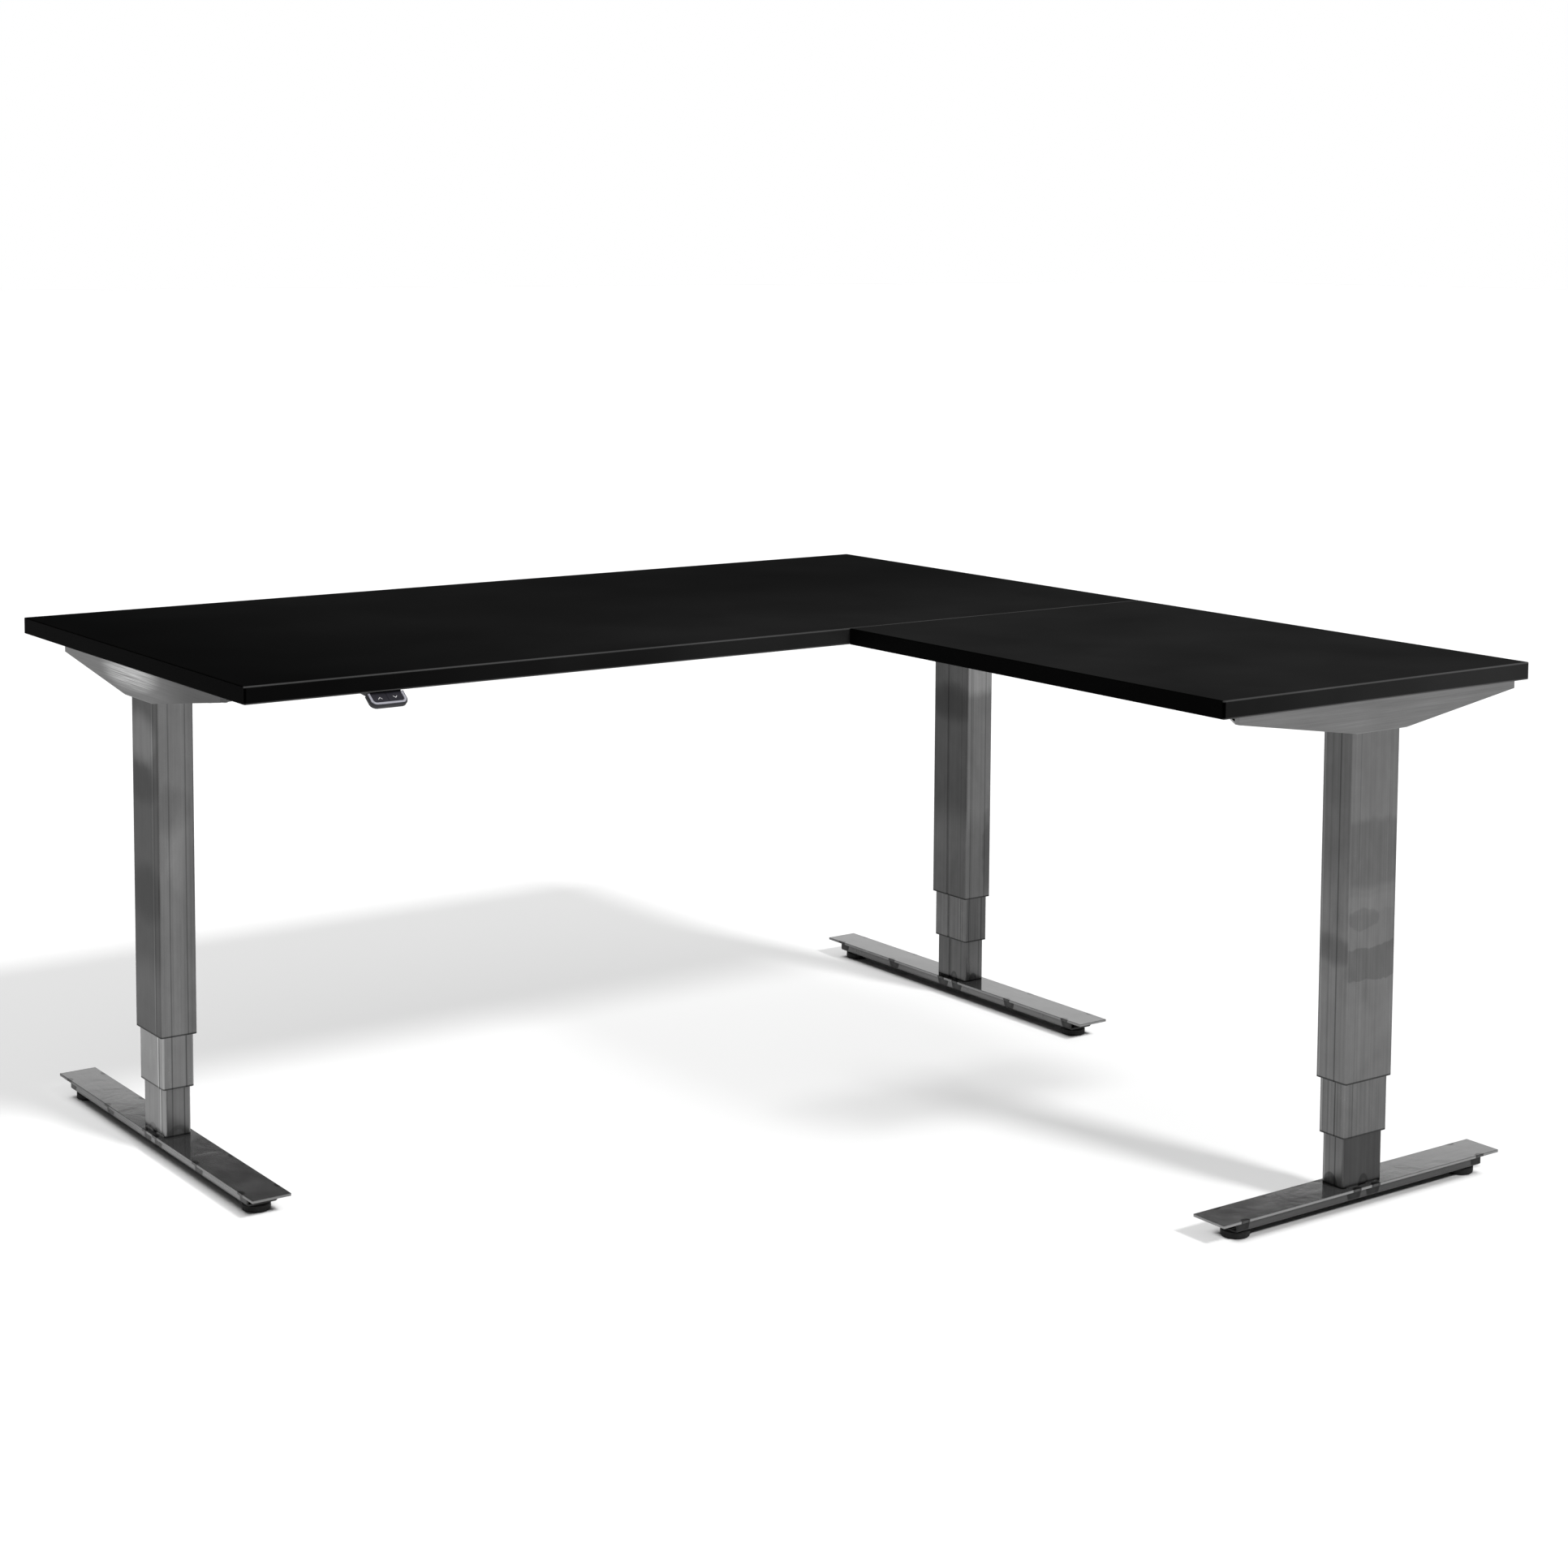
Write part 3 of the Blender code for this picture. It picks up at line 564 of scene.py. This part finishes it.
def painted(name, tone):
    """Black enamel with a slight orange peel."""
    made = Finish(name, coat=0.3, coat_roughness=0.15)
    peel = made.noise(420, 420, seed=len(name), detail=2)
    flow = made.noise(40, 40, seed=len(name) + 2, detail=3)
    made.colour(flow.step(0.3, 0.7) * 0.7 + peel * 0.3, (tone * 0.8,) * 3, (tone * 1.3,) * 3)
    made.roughness(peel.vary(0.15) * flow.vary(0.15) * 0.38)
    made.bump(peel, 0.00004)
    return made.material


def wear(node, material):
    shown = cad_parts[node]
    shown.data.materials.clear()
    shown.data.materials.append(material)


BEAM_SCREW_INSET = 0.045
# The beams, and how many wood screws go up through each.
BEAM_SCREWS = {"main_front": 5, "main_rear": 5, "return_left": 4, "return_right": 4}


def finish_nodes(shared):
    for node in ("main_desktop", "return_desktop"):
        wear(node, laminate(node))
    for number in LEGS:
        name = f"column_{number}"
        for stage in STAGES:
            wear(f"{name}_{stage}_tube", column_steel(number, stage))
        for word in ("outer_ring", "middle_ring", "bearing_cap", "nut_cap"):
            wear(f"{name}_{word}", shared["glide"])
        for word in ("plate", "channel"):
            wear(f"foot_{number}_{word}", foot_steel(number, word))
        for side in GLIDE_SIDES[number]:
            wear(f"glide_{number}_{side}", shared["rubber"])
        wear(f"side_bracket_{number}", bracket_steel(number))
        wear(f"{name}_drive_screw", threaded_steel(number, "drive_screw", 0.005))
        wear(f"{name}_hollow_spindle", threaded_steel(number, "spindle", 0.010))
        wear(f"gearbox_{number}", cast_aluminium(number))
        wear(f"motor_{number}", shared["motor"])
    for word in BEAM_SCREWS:
        wear(f"{word}_beam", beam_steel(f"{word}_beam", word.startswith("main")))
    wear("joining_plate", shared["zinc"])
    wear("control_box", shared["box"])
    wear("handset_housing", shared["housing"])
    wear("up_key", shared["key"])
    wear("down_key", shared["key"])


def shared_finishes():
    rubber_tones = (0.006, 0.006, 0.006), (0.014, 0.014, 0.014)
    glide_tones = (0.010, 0.010, 0.011), (0.022, 0.022, 0.023)
    housing_tones = (0.012, 0.012, 0.016), (0.022, 0.022, 0.028)
    key_tones = (0.020, 0.019, 0.028), (0.034, 0.032, 0.044)
    bezel_tones = (0.500, 0.500, 0.570), (0.620, 0.620, 0.690)
    print_tones = (0.880, 0.880, 0.890), (0.950, 0.950, 0.960)
    box_tones = (0.010, 0.010, 0.011), (0.020, 0.020, 0.021)
    return {
        "rubber": moulded("black_rubber", *rubber_tones, 0.72, 1500, 0.00006, specular=0.3),
        "glide": moulded("glide_plastic", *glide_tones, 0.50),
        "housing": moulded("charcoal_plastic", *housing_tones, 0.42, specular=0.4),
        "key": moulded("key_plastic", *key_tones, 0.50, specular=0.35),
        "bezel": moulded("bezel_plastic", *bezel_tones, 0.38),
        "print": moulded("symbol_print", *print_tones, 0.45),
        "box": moulded("control_box_plastic", *box_tones, 0.55, 1400, 0.00008),
        "motor": painted("motor_enamel", 0.016),
        "zinc": zinc_steel("zinc_plated_steel", 0.42),
        "screw": zinc_steel("screw_steel", 0.55, 3.0),
        "black_screw": zinc_steel("blackened_steel", 0.06, 6.0),
        "brass": zinc_steel("contact_metal", 0.60, 9.0),
    }


# ---- mesh helpers -----------------------------------------------------------------------------------
def piece(name, shape, material, body):
    """A finished piece from a bmesh that is already in place, riding on a body."""
    bmesh.ops.recalc_face_normals(shape, faces=shape.faces)
    mesh = bpy.data.meshes.new(name)
    shape.to_mesh(mesh)
    shape.free()
    mesh.shade_smooth()
    mesh.set_sharp_from_angle(angle=math.radians(40))
    mesh.materials.append(material)
    made = bpy.data.objects.new(name, mesh)
    bpy.context.scene.collection.objects.link(made)
    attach(made, body)
    return made


def loft(shape, loops, place=Matrix.Identity(4), closed_ring=False):
    """Joins loops of points with quads, and caps both ends unless the last loop meets the first."""
    rings = [[shape.verts.new(place @ Vector(point)) for point in loop] for loop in loops]
    pairs = list(zip(rings, rings[1:]))
    if closed_ring:
        pairs.append((rings[-1], rings[0]))
    for first, second in pairs:
        for i in range(len(first)):
            after = (i + 1) % len(first)
            shape.faces.new((first[i], first[after], second[after], second[i]))
    if not closed_ring:
        shape.faces.new(rings[0][::-1])
        shape.faces.new(rings[-1])


def round_loop(radius, z, count=24, lobes=0, depth=0.0):
    """A circle at a height. With lobes it waves inwards by a share of its radius, as a recess does."""
    points = []
    for i in range(count):
        angle = 2 * math.pi * i / count
        r = radius * (1 - depth * (0.5 - 0.5 * math.cos(lobes * angle)))
        points.append((r * math.cos(angle), r * math.sin(angle), z))
    return points


def screw(shape, place, radius, height, lobes=4):
    """A pan-head screw's head with a driver recess, its seat at z = 0 and its crown towards +Z."""
    profile = ((1.0, -0.15), (1.0, 0.25), (0.94, 0.62), (0.78, 0.88), (0.56, 1.0))
    loops = [round_loop(radius * r, height * z) for r, z in profile]
    loops += [round_loop(radius * 0.46, height * z, lobes=lobes, depth=0.62) for z in (1.0, 0.45)]
    loft(shape, loops, place)


def hex_loop(across_flats, z):
    radius = across_flats / 2 / math.cos(math.pi / 6)
    return [(radius * math.cos(k * math.pi / 3), radius * math.sin(k * math.pi / 3), z) for k in range(6)]


def box(shape, low, high, edge):
    """A block between two corners with its edges rounded."""
    made = bmesh.new()
    bmesh.ops.create_cube(made, size=1.0)
    low, high = Vector(low), Vector(high)
    for vert in made.verts:
        vert.co = Vector(a * b for a, b in zip(vert.co, high - low)) + (low + high) / 2
    bmesh.ops.bevel(made, geom=made.edges[:], offset=edge, segments=2, affect="EDGES", profile=0.5)
    holder = bpy.data.meshes.new("holder")
    made.to_mesh(holder)
    made.free()
    shape.from_mesh(holder)
    bpy.data.meshes.remove(holder)


def bead(shape, start, end, one, other, radius, ripples, space):
    """A rippled fillet weld from start to end, in the corner between two directions, with tapered ends."""
    start, end, one, other = (Vector(v) for v in (start, end, one, other))
    stations = ripples * 6
    loops = []
    for i in range(stations + 1):
        share = i / stations
        taper = min(1.0, 0.35 + 5.0 * min(share, 1 - share))
        swell = 0.80 + 0.20 * abs(math.sin(math.pi * share * ripples))
        centre = start.lerp(end, share)
        loop = [centre - (one + other) * EMBED]
        for k in range(7):
            angle = QUARTER * k / 6
            r = radius * taper * swell * (1 - 0.16 * math.sin(2 * angle))
            loop.append(centre + one * (r * math.cos(angle)) + other * (r * math.sin(angle)))
        loops.append(loop)
    loft(shape, loops, space)


# ---- pieces on the feet and columns -----------------------------------------------------------------
def make_foot_welds(number, material):
    """Two stitches along each side of the column's foot, and short ones between channel and plate."""
    space = leg_space(number)
    plate_low, plate_high = (corner.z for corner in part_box(f"foot_{number}_plate"))
    half_tube = leg_size(f"column_{number}_inner_tube", number)[0] / 2
    half_channel = leg_size(f"foot_{number}_channel", number)[0] / 2
    radius, half_base, half_stitch = 0.0026, 0.013, 0.009
    base = bmesh.new()
    stitches = bmesh.new()
    for side in (-1, 1):
        out = (side, 0, 0)
        for place in BASE_WELDS:
            x = side * half_tube
            ends = ((x, place - half_base, plate_high), (x, place + half_base, plate_high))
            bead(base, *ends, out, (0, 0, 1), radius, 9, space)
        for place in (*STITCH_WELDS[number], *BASE_WELDS):
            x = side * half_channel
            ends = ((x, place - half_stitch, plate_low), (x, place + half_stitch, plate_low))
            bead(stitches, *ends, out, (0, 0, -1), radius, 6, space)
    piece(f"column_{number}_base_welds", base, material, f"foot_{number}")
    piece(f"foot_{number}_stitch_welds", stitches, material, f"foot_{number}")


def make_foot_nuts(number, material):
    """A hexagon nut welded in the channel round each glide's stem."""
    shape = bmesh.new()
    wall, flats, chamfer, height, bore_share = 0.0026, 0.0160, 0.0006, 0.0068, 0.68
    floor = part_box(f"foot_{number}_channel")[0].z + wall
    for side in GLIDE_SIDES[number]:
        centre = middle(f"glide_{number}_{side}")
        place = Matrix.Translation((centre.x, centre.y, floor))
        sides = [hex_loop(flats, 0.0), hex_loop(flats, height - 0.0008)]
        loops = sides + [hex_loop(flats - 2 * chamfer, height)]
        bore = [[(x * bore_share, y * bore_share, z) for x, y, _ in loops[0]] for z in (height, 0.0)]
        loft(shape, loops + bore, place, closed_ring=True)
    piece(f"foot_{number}_weld_nuts", shape, material, f"foot_{number}")


# ---- pieces under the tops --------------------------------------------------------------------------
def head_down(x, y, z):
    return Matrix.Translation((x, y, z)) @ Matrix.Rotation(math.pi, 4, "X")


def make_bracket_screws(number, material):
    """Flush wood screws up through the bracket's sloping ends, three at each end."""
    half_flat, end_depth = 0.049, 0.013
    head_radius, head_height = 0.0042, 0.0008
    spots = ((-0.019, 0.022), (-0.019, 0.070), (0.019, 0.070))
    node = f"side_bracket_{number}"
    low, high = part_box(node)
    half_length = leg_size(node, number)[1] / 2
    slope = math.atan2(high.z - low.z - end_depth, half_length - half_flat)
    shape = bmesh.new()
    for end in (-1, 1):
        for across, inset in spots:
            z = high.z - end_depth - inset * math.tan(slope)
            place = leg_space(number) @ Matrix.Translation((across, end * (half_length - inset), z))
            tilt = Matrix.Rotation(math.pi - end * slope, 4, "X")
            screw(shape, place @ tilt, head_radius, head_height)
    piece(f"{node}_screws", shape, material, "desk_top")


def ring(shape, radius, at, along):
    """A low rib round a motor case, from one place along it."""
    outer = ((-0.0006, 0.0), (0.0002, 0.0008), (0.0002, 0.0032), (-0.0006, 0.0040))
    inner = ((-0.0014, 0.0040), (-0.0014, 0.0))
    loops = [round_loop(radius + rise, at + shift, 36) for rise, shift in outer + inner]
    loft(shape, loops, along, closed_ring=True)


def make_drive_details(number, shared):
    """The gearbox's screws, and the motor's two case ribs and end bearing with its screws."""
    space = leg_space(number)
    low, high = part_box(f"gearbox_{number}")
    half = (high.x - low.x) / 2
    inset = half - 0.0085
    screws = bmesh.new()
    for x, y in ((-inset, -inset), (-inset, inset), (inset, -inset), (inset, inset)):
        screw(screws, space @ Matrix.Translation((x, y, high.z)), 0.0042, 0.0032, lobes=6)
    piece(f"gearbox_{number}_screws", screws, shared["black_screw"], "desk_top")

    motor = f"motor_{number}"
    axis_height = middle(motor).z
    radius = size(motor).z / 2
    start = half + 0.0003
    end = start + leg_size(motor, number)[0]
    along = space @ Matrix.Translation((0, 0, axis_height)) @ Matrix.Rotation(QUARTER, 4, "Y")
    ribs = bmesh.new()
    ring(ribs, radius, start + 0.010, along)
    ring(ribs, radius, end - 0.016, along)
    piece(f"{motor}_case_ribs", ribs, shared["motor"], "desk_top")

    bearing = bmesh.new()
    fluted = ((0.0125, -0.001, 0.0), (0.0125, 0.0022, 0.10), (0.0100, 0.0034, 0.12))
    loops = [round_loop(r, end + shift, 36, 12, depth) for r, shift, depth in fluted]
    loops += [round_loop(r, end + shift, 36) for r, shift in ((0.0045, 0.0034), (0.0040, 0.0046))]
    loft(bearing, loops, along)
    for angle in (math.pi / 4, 5 * math.pi / 4):
        turn = Matrix.Rotation(angle, 4, "Z")
        screw(bearing, along @ turn @ Matrix.Translation((0.0150, 0, end)), 0.0020, 0.0016)
    piece(f"{motor}_end_bearing", bearing, shared["black_screw"], "desk_top")


def make_beam_screws(shared):
    """Wood screws through the beams, seen as heads on their undersides."""
    for word, heads in BEAM_SCREWS.items():
        low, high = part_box(f"{word}_beam")
        along_x = word.startswith("main")
        start, end = (low.x, high.x) if along_x else (low.y, high.y)
        across = (low.y + high.y) / 2 if along_x else (low.x + high.x) / 2
        shape = bmesh.new()
        for i in range(heads):
            at = start + BEAM_SCREW_INSET + (end - start - 2 * BEAM_SCREW_INSET) * i / (heads - 1)
            x, y = (at, across) if along_x else (across, at)
            screw(shape, head_down(x, y, low.z), 0.0050, 0.0030)
        piece(f"{word}_beam_screws", shape, shared["screw"], "desk_top")


def make_plate_screws(shared):
    low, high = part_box("joining_plate")
    shape = bmesh.new()
    side, near, far = 0.014, 0.016, 0.094
    for x in (low.x + side, high.x - side):
        for y in (low.y + near, low.y + far, high.y - far, high.y - near):
            screw(shape, head_down(x, y, low.z), 0.0045, 0.0028)
    piece("joining_plate_screws", shape, shared["screw"], "desk_top")


def block(shape, centre, extent, edge):
    """A block with rounded edges, from its centre and its sizes."""
    half = Vector(extent) / 2
    box(shape, Vector(centre) - half, Vector(centre) + half, edge)


INLET_X, INLET_DEPTH = 0.118, 0.016
INLET_BLADES = ((-0.007, -0.002), (0.007, -0.002), (0.0, 0.003))
SOCKET_XS = (-0.120, -0.085, -0.050, -0.015)
CONTACT_PITCH = 0.0021
RIB_COUNT, RIB_PITCH = 15, 0.011


def make_box_details(shared):
    """The control box's screw tabs, cooling ribs, inlet blades and socket contacts."""
    low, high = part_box("control_box")
    centre = (low + high) / 2
    tabs = bmesh.new()
    screws = bmesh.new()
    tab_width, tab_thickness = 0.018, 0.0035
    for side, edge in ((-1, low.x), (1, high.x)):
        for y in (low.y + 0.020, high.y - 0.020):
            tab = (edge + side * 0.0075, y, high.z - tab_thickness / 2)
            block(tabs, tab, (0.017, tab_width, tab_thickness), 0.0010)
            screw(screws, head_down(edge + side * 0.0085, y, high.z - tab_thickness), 0.0038, 0.0024)
    piece("control_box_tabs", tabs, shared["box"], "desk_top")
    piece("control_box_screws", screws, shared["screw"], "desk_top")

    ribs = bmesh.new()
    for i in range(RIB_COUNT):
        x = centre.x + RIB_PITCH * (i - (RIB_COUNT - 1) / 2)
        block(ribs, (x, centre.y, low.z - 0.0001), (0.0044, 0.060, 0.0022), 0.0008)
    piece("control_box_ribs", ribs, shared["box"], "desk_top")

    contacts = bmesh.new()
    for dx, dz in INLET_BLADES:
        place = (INLET_X + dx, high.y - (INLET_DEPTH + 0.005) / 2, centre.z + dz)
        block(contacts, place, (0.0020, INLET_DEPTH - 0.003, 0.0040), 0.0004)
    for x in SOCKET_XS:
        for i in range(-2, 3):
            place = (x + CONTACT_PITCH * i, high.y - 0.0075, centre.z)
            block(contacts, place, (0.0008, 0.007, 0.0016), 0.00015)
    piece("control_box_contacts", contacts, shared["brass"], "desk_top")


# ---- handset ----------------------------------------------------------------------------------------
def u_outline(half_width, top, bottom, corner, steps=6):
    """From the top left corner down, round the two lower corners, and up to the top right."""
    points = [(-half_width, top)]
    for side, first in ((-1, 180), (1, 270)):
        for step in range(steps + 1):
            angle = math.radians(first + 90 * step / steps)
            x = side * (half_width - corner) + corner * math.cos(angle)
            points.append((x, bottom + corner + corner * math.sin(angle)))
    points.append((half_width, top))
    return points


HANDSET_SLOPE = math.radians(36)
HANDSET_SETBACK, HANDSET_DROP = 0.004, 0.0015
KEY_WIDTH = 0.0235


def handset_face():
    """The place of the handset's sloping face: its origin at the middle of its top edge, +Z out of it."""
    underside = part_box("main_desktop")[0].z
    start = (middle("handset_housing").x, HANDSET_SETBACK, underside - HANDSET_DROP)
    return Matrix.Translation(start) @ Matrix.Rotation(HANDSET_SLOPE, 4, "X")


def make_bezel(face, material):
    """The paler U-shaped frame round the keys, its section rounded at the front."""
    shape = bmesh.new()
    outer = u_outline(0.0268, -0.0008, -0.0222, 0.0080)
    inner = u_outline(0.02345, -0.0008, -0.01890, 0.0050)
    levels = ((0.0, -0.0006), (0.0, 0.0005), (0.0004, 0.0009))
    loops = []
    for a, b in zip(outer, inner):
        a, b = Vector(a), Vector(b)
        inward = (b - a).normalized()
        section = [(a + inward * inset, z) for inset, z in levels]
        section += [(b - inward * inset, z) for inset, z in reversed(levels)]
        loops.append([(p.x, p.y, z) for p, z in section])
    loft(shape, loops, face)
    piece("handset_bezel", shape, material, "desk_top")


def make_lip(face, material):
    """The raised line where the housing's two halves part."""
    shape = bmesh.new()
    outline = u_outline(0.0280, -0.0010, -0.0235, 0.0090)
    profile = ((-0.0004, -0.0034), (0.0006, -0.0031), (0.0006, -0.0023), (-0.0004, -0.0020))
    loops = []
    for i, point in enumerate(outline):
        before = Vector(outline[max(i - 1, 0)])
        after = Vector(outline[min(i + 1, len(outline) - 1)])
        tangent = (after - before).normalized()
        x, y = point
        loops.append([(x + tangent.y * rise, y - tangent.x * rise, z) for rise, z in profile])
    loft(shape, loops, face)
    piece("handset_parting_lip", shape, material, "desk_top")


def make_symbols(face, material):
    """An arrow head on each key, pointing up or down its slope."""
    reach, rise, stroke = 0.0029, 0.0030, 0.0010
    key_middle = -0.01075
    points = [(-reach, -rise / 2), (0, rise / 2), (reach, -rise / 2)]
    outline = points + [(x, y - stroke * 1.4) for x, y in reversed(points)]
    for word, side, up in (("up", -1, 1), ("down", 1, -1)):
        shape = bmesh.new()
        centre = (side * KEY_WIDTH / 2, key_middle + up * stroke / 2)
        loops = []
        for z in (-0.0002, 0.00012):
            loops.append([(centre[0] + x, centre[1] + up * y, z) for x, y in outline])
        loft(shape, loops, face)
        piece(f"{word}_symbol", shape, material, f"{word}_key")


def make_handset_screws(face, material):
    """Two screws up into the top through the housing's rear wedge."""
    back, drop, tilt = 0.040, 0.00375, math.radians(5.6)
    shape = bmesh.new()
    for x in (-0.015, 0.015):
        place = (face.translation.x + x, back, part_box("main_desktop")[0].z - drop)
        turn = Matrix.Rotation(math.pi - tilt, 4, "X")
        screw(shape, Matrix.Translation(place) @ turn, 0.0030, 0.0020)
    piece("handset_screws", shape, material, "desk_top")


# ---- studio -----------------------------------------------------------------------------------------
def make_floor():
    """A wide pale floor just under the glides, clear from below so that the undersides can be seen."""
    mesh = bpy.data.meshes.new("floor")
    reach, level = 60.0, -0.0006
    sides = ((-1, -1), (1, -1), (1, 1), (-1, 1))
    mesh.from_pydata([(x * reach, y * reach, level) for x, y in sides], [], [(0, 1, 2, 3)])
    floor = bpy.data.objects.new("floor", mesh)
    bpy.context.scene.collection.objects.link(floor)
    made = Finish("pale_floor", specular=0.0)
    made.shader.inputs["Roughness"].default_value = 1.0
    tint = made.noise(0.8, 0.8, detail=1)
    made.colour(tint, (0.45, 0.45, 0.45), (0.46, 0.46, 0.46))
    clear = made.add("ShaderNodeBsdfTransparent")
    mix = made.add("ShaderNodeMixShader")
    made.tree.links.new(made.add("ShaderNodeNewGeometry").outputs["Backfacing"], mix.inputs[0])
    made.tree.links.new(made.shader.outputs[0], mix.inputs[1])
    made.tree.links.new(clear.outputs[0], mix.inputs[2])
    made.tree.links.new(mix.outputs[0], made.tree.nodes["Material Output"].inputs["Surface"])
    mesh.materials.append(made.material)
    floor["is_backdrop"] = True


def make_world():
    """A soft dome, bright overhead and dim near the horizon. What the camera sees of it is plain white."""
    world = bpy.data.worlds.new("studio")
    bpy.context.scene.world = world
    world.use_nodes = True
    tree = world.node_tree
    dome = tree.nodes["Background"]
    split = tree.nodes.new("ShaderNodeSeparateXYZ")
    tree.links.new(tree.nodes.new("ShaderNodeTexCoord").outputs["Generated"], split.inputs[0])
    height = Field(tree, split.outputs["Z"])
    connect(tree, height.step(0.28, 0.85) * 0.6 + 0.05, dome.inputs["Strength"])
    dome.inputs["Color"].default_value = (1.0, 1.0, 1.0, 1.0)
    backdrop = tree.nodes.new("ShaderNodeBackground")
    backdrop.inputs["Color"].default_value = (1.0, 1.0, 1.0, 1.0)
    mix = tree.nodes.new("ShaderNodeMixShader")
    tree.links.new(tree.nodes.new("ShaderNodeLightPath").outputs["Is Camera Ray"], mix.inputs[0])
    tree.links.new(dome.outputs[0], mix.inputs[1])
    tree.links.new(backdrop.outputs[0], mix.inputs[2])
    tree.links.new(mix.outputs[0], tree.nodes["World Output"].inputs["Surface"])


def make_sun(name, energy, angle, travel):
    light = bpy.data.lights.new(name, "SUN")
    light.energy = energy
    light.angle = math.radians(angle)
    sun = bpy.data.objects.new(name, light)
    sun.rotation_euler = Vector(travel).to_track_quat("-Z", "Y").to_euler()
    bpy.context.scene.collection.objects.link(sun)
    return sun


def group(name, members):
    collection = bpy.data.collections.new(name)
    for member in members:
        collection.objects.link(member)
    return collection


KEY_TRAVEL = (-0.22, 0.99, -1.0)
KEY_SPREAD = 9
CARD_SIZE = (18.0, 2.54)
CARD_PLACE = Vector((4.4, 6.2, 1.36))
CARD_AIM = Vector((0, 0, 1.0))
CARD_ROLL = math.radians(-2.9)
TOPS = ("main_desktop", "return_desktop")
# Pieces that cast no shadow from the floor's own key: the return and what is under it.
SHADOWLESS = ("return_", "joining_plate")
CLOSE_TO_FLOOR = ("foot_1_channel", "foot_2_channel", "foot_3_channel", "glide_")


def make_floor_lights():
    """Two lights for the floor alone: a key for pale shadows, and a fill for tight ones under the feet."""
    floor = group("floor_only", [bpy.data.objects["floor"]])
    desk = [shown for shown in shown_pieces() if not shown.name.startswith(SHADOWLESS)]
    feet = [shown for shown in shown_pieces() if shown.name.startswith(CLOSE_TO_FLOOR)]
    floor_key = make_sun("floor_key", 2.5, KEY_SPREAD, KEY_TRAVEL)
    floor_fill = make_sun("floor_fill", 4.0, 50, (0, 0, -1))
    for light, blockers in ((floor_key, group("desk", desk)), (floor_fill, group("feet", feet))):
        light.light_linking.receiver_collection = floor
        light.light_linking.blocker_collection = blockers


def make_card():
    """A wide low card behind the desk, for the feet to mirror. It doesn't light the tops."""
    card = bpy.data.lights.new("rear_card", "AREA")
    card.shape = "RECTANGLE"
    card.size, card.size_y = CARD_SIZE
    card.energy = 198.0
    light = bpy.data.objects.new("rear_card", card)
    light.location = CARD_PLACE
    aim = (CARD_AIM - CARD_PLACE).to_track_quat("-Z", "Y")
    light.rotation_euler = (aim @ Quaternion((0, 0, 1), CARD_ROLL)).to_euler()
    light.visible_camera = False
    bpy.context.scene.collection.objects.link(light)
    lit = [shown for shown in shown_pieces() if shown.name not in TOPS]
    light.light_linking.receiver_collection = group("card_lit", lit)


CAMERA_PLACE = (-2.3334, -3.3331, 1.3340)
CAMERA_TURNS = (35.408, 4.968, -0.297)
CAMERA_SHIFT = (0.0136, -0.1947)
LENS, SENSOR = 63.52, 36.0


def make_camera():
    """A long lens a little above the tops. Its shift keeps the legs' verticals nearly parallel."""
    made = bpy.data.cameras.new("camera")
    made.sensor_width = SENSOR
    made.lens = LENS
    made.shift_x, made.shift_y = CAMERA_SHIFT
    made.clip_end = 200.0
    camera = bpy.data.objects.new("camera", made)
    yaw, pitch, roll = (math.radians(angle) for angle in CAMERA_TURNS)
    forward = Vector((math.sin(yaw) * math.cos(pitch), math.cos(yaw) * math.cos(pitch), -math.sin(pitch)))
    level = Vector((math.cos(yaw), -math.sin(yaw), 0))
    down = forward.cross(level)
    right = level * math.cos(roll) + down * math.sin(roll)
    below = down * math.cos(roll) - level * math.sin(roll)
    turned = Matrix((right, -below, -forward)).transposed()
    camera.matrix_world = Matrix.Translation(CAMERA_PLACE) @ turned.to_4x4()
    bpy.context.scene.collection.objects.link(camera)
    bpy.context.scene.camera = camera


def main():
    shared = shared_finishes()
    finish_nodes(shared)
    for number in LEGS:
        make_foot_welds(number, weld_steel(number))
        make_foot_nuts(number, shared["zinc"])
        make_bracket_screws(number, shared["screw"])
        make_drive_details(number, shared)
    make_beam_screws(shared)
    make_plate_screws(shared)
    make_box_details(shared)
    face = handset_face()
    make_bezel(face, shared["bezel"])
    make_lip(face, shared["housing"])
    make_symbols(face, shared["print"])
    make_handset_screws(face, shared["black_screw"])
    make_floor()
    make_world()
    make_sun("key", 1.0, KEY_SPREAD, KEY_TRAVEL)
    make_floor_lights()
    make_card()
    make_camera()
    bpy.context.scene.view_settings.view_transform = "Standard"


main()
bpy.context.view_layer.update()
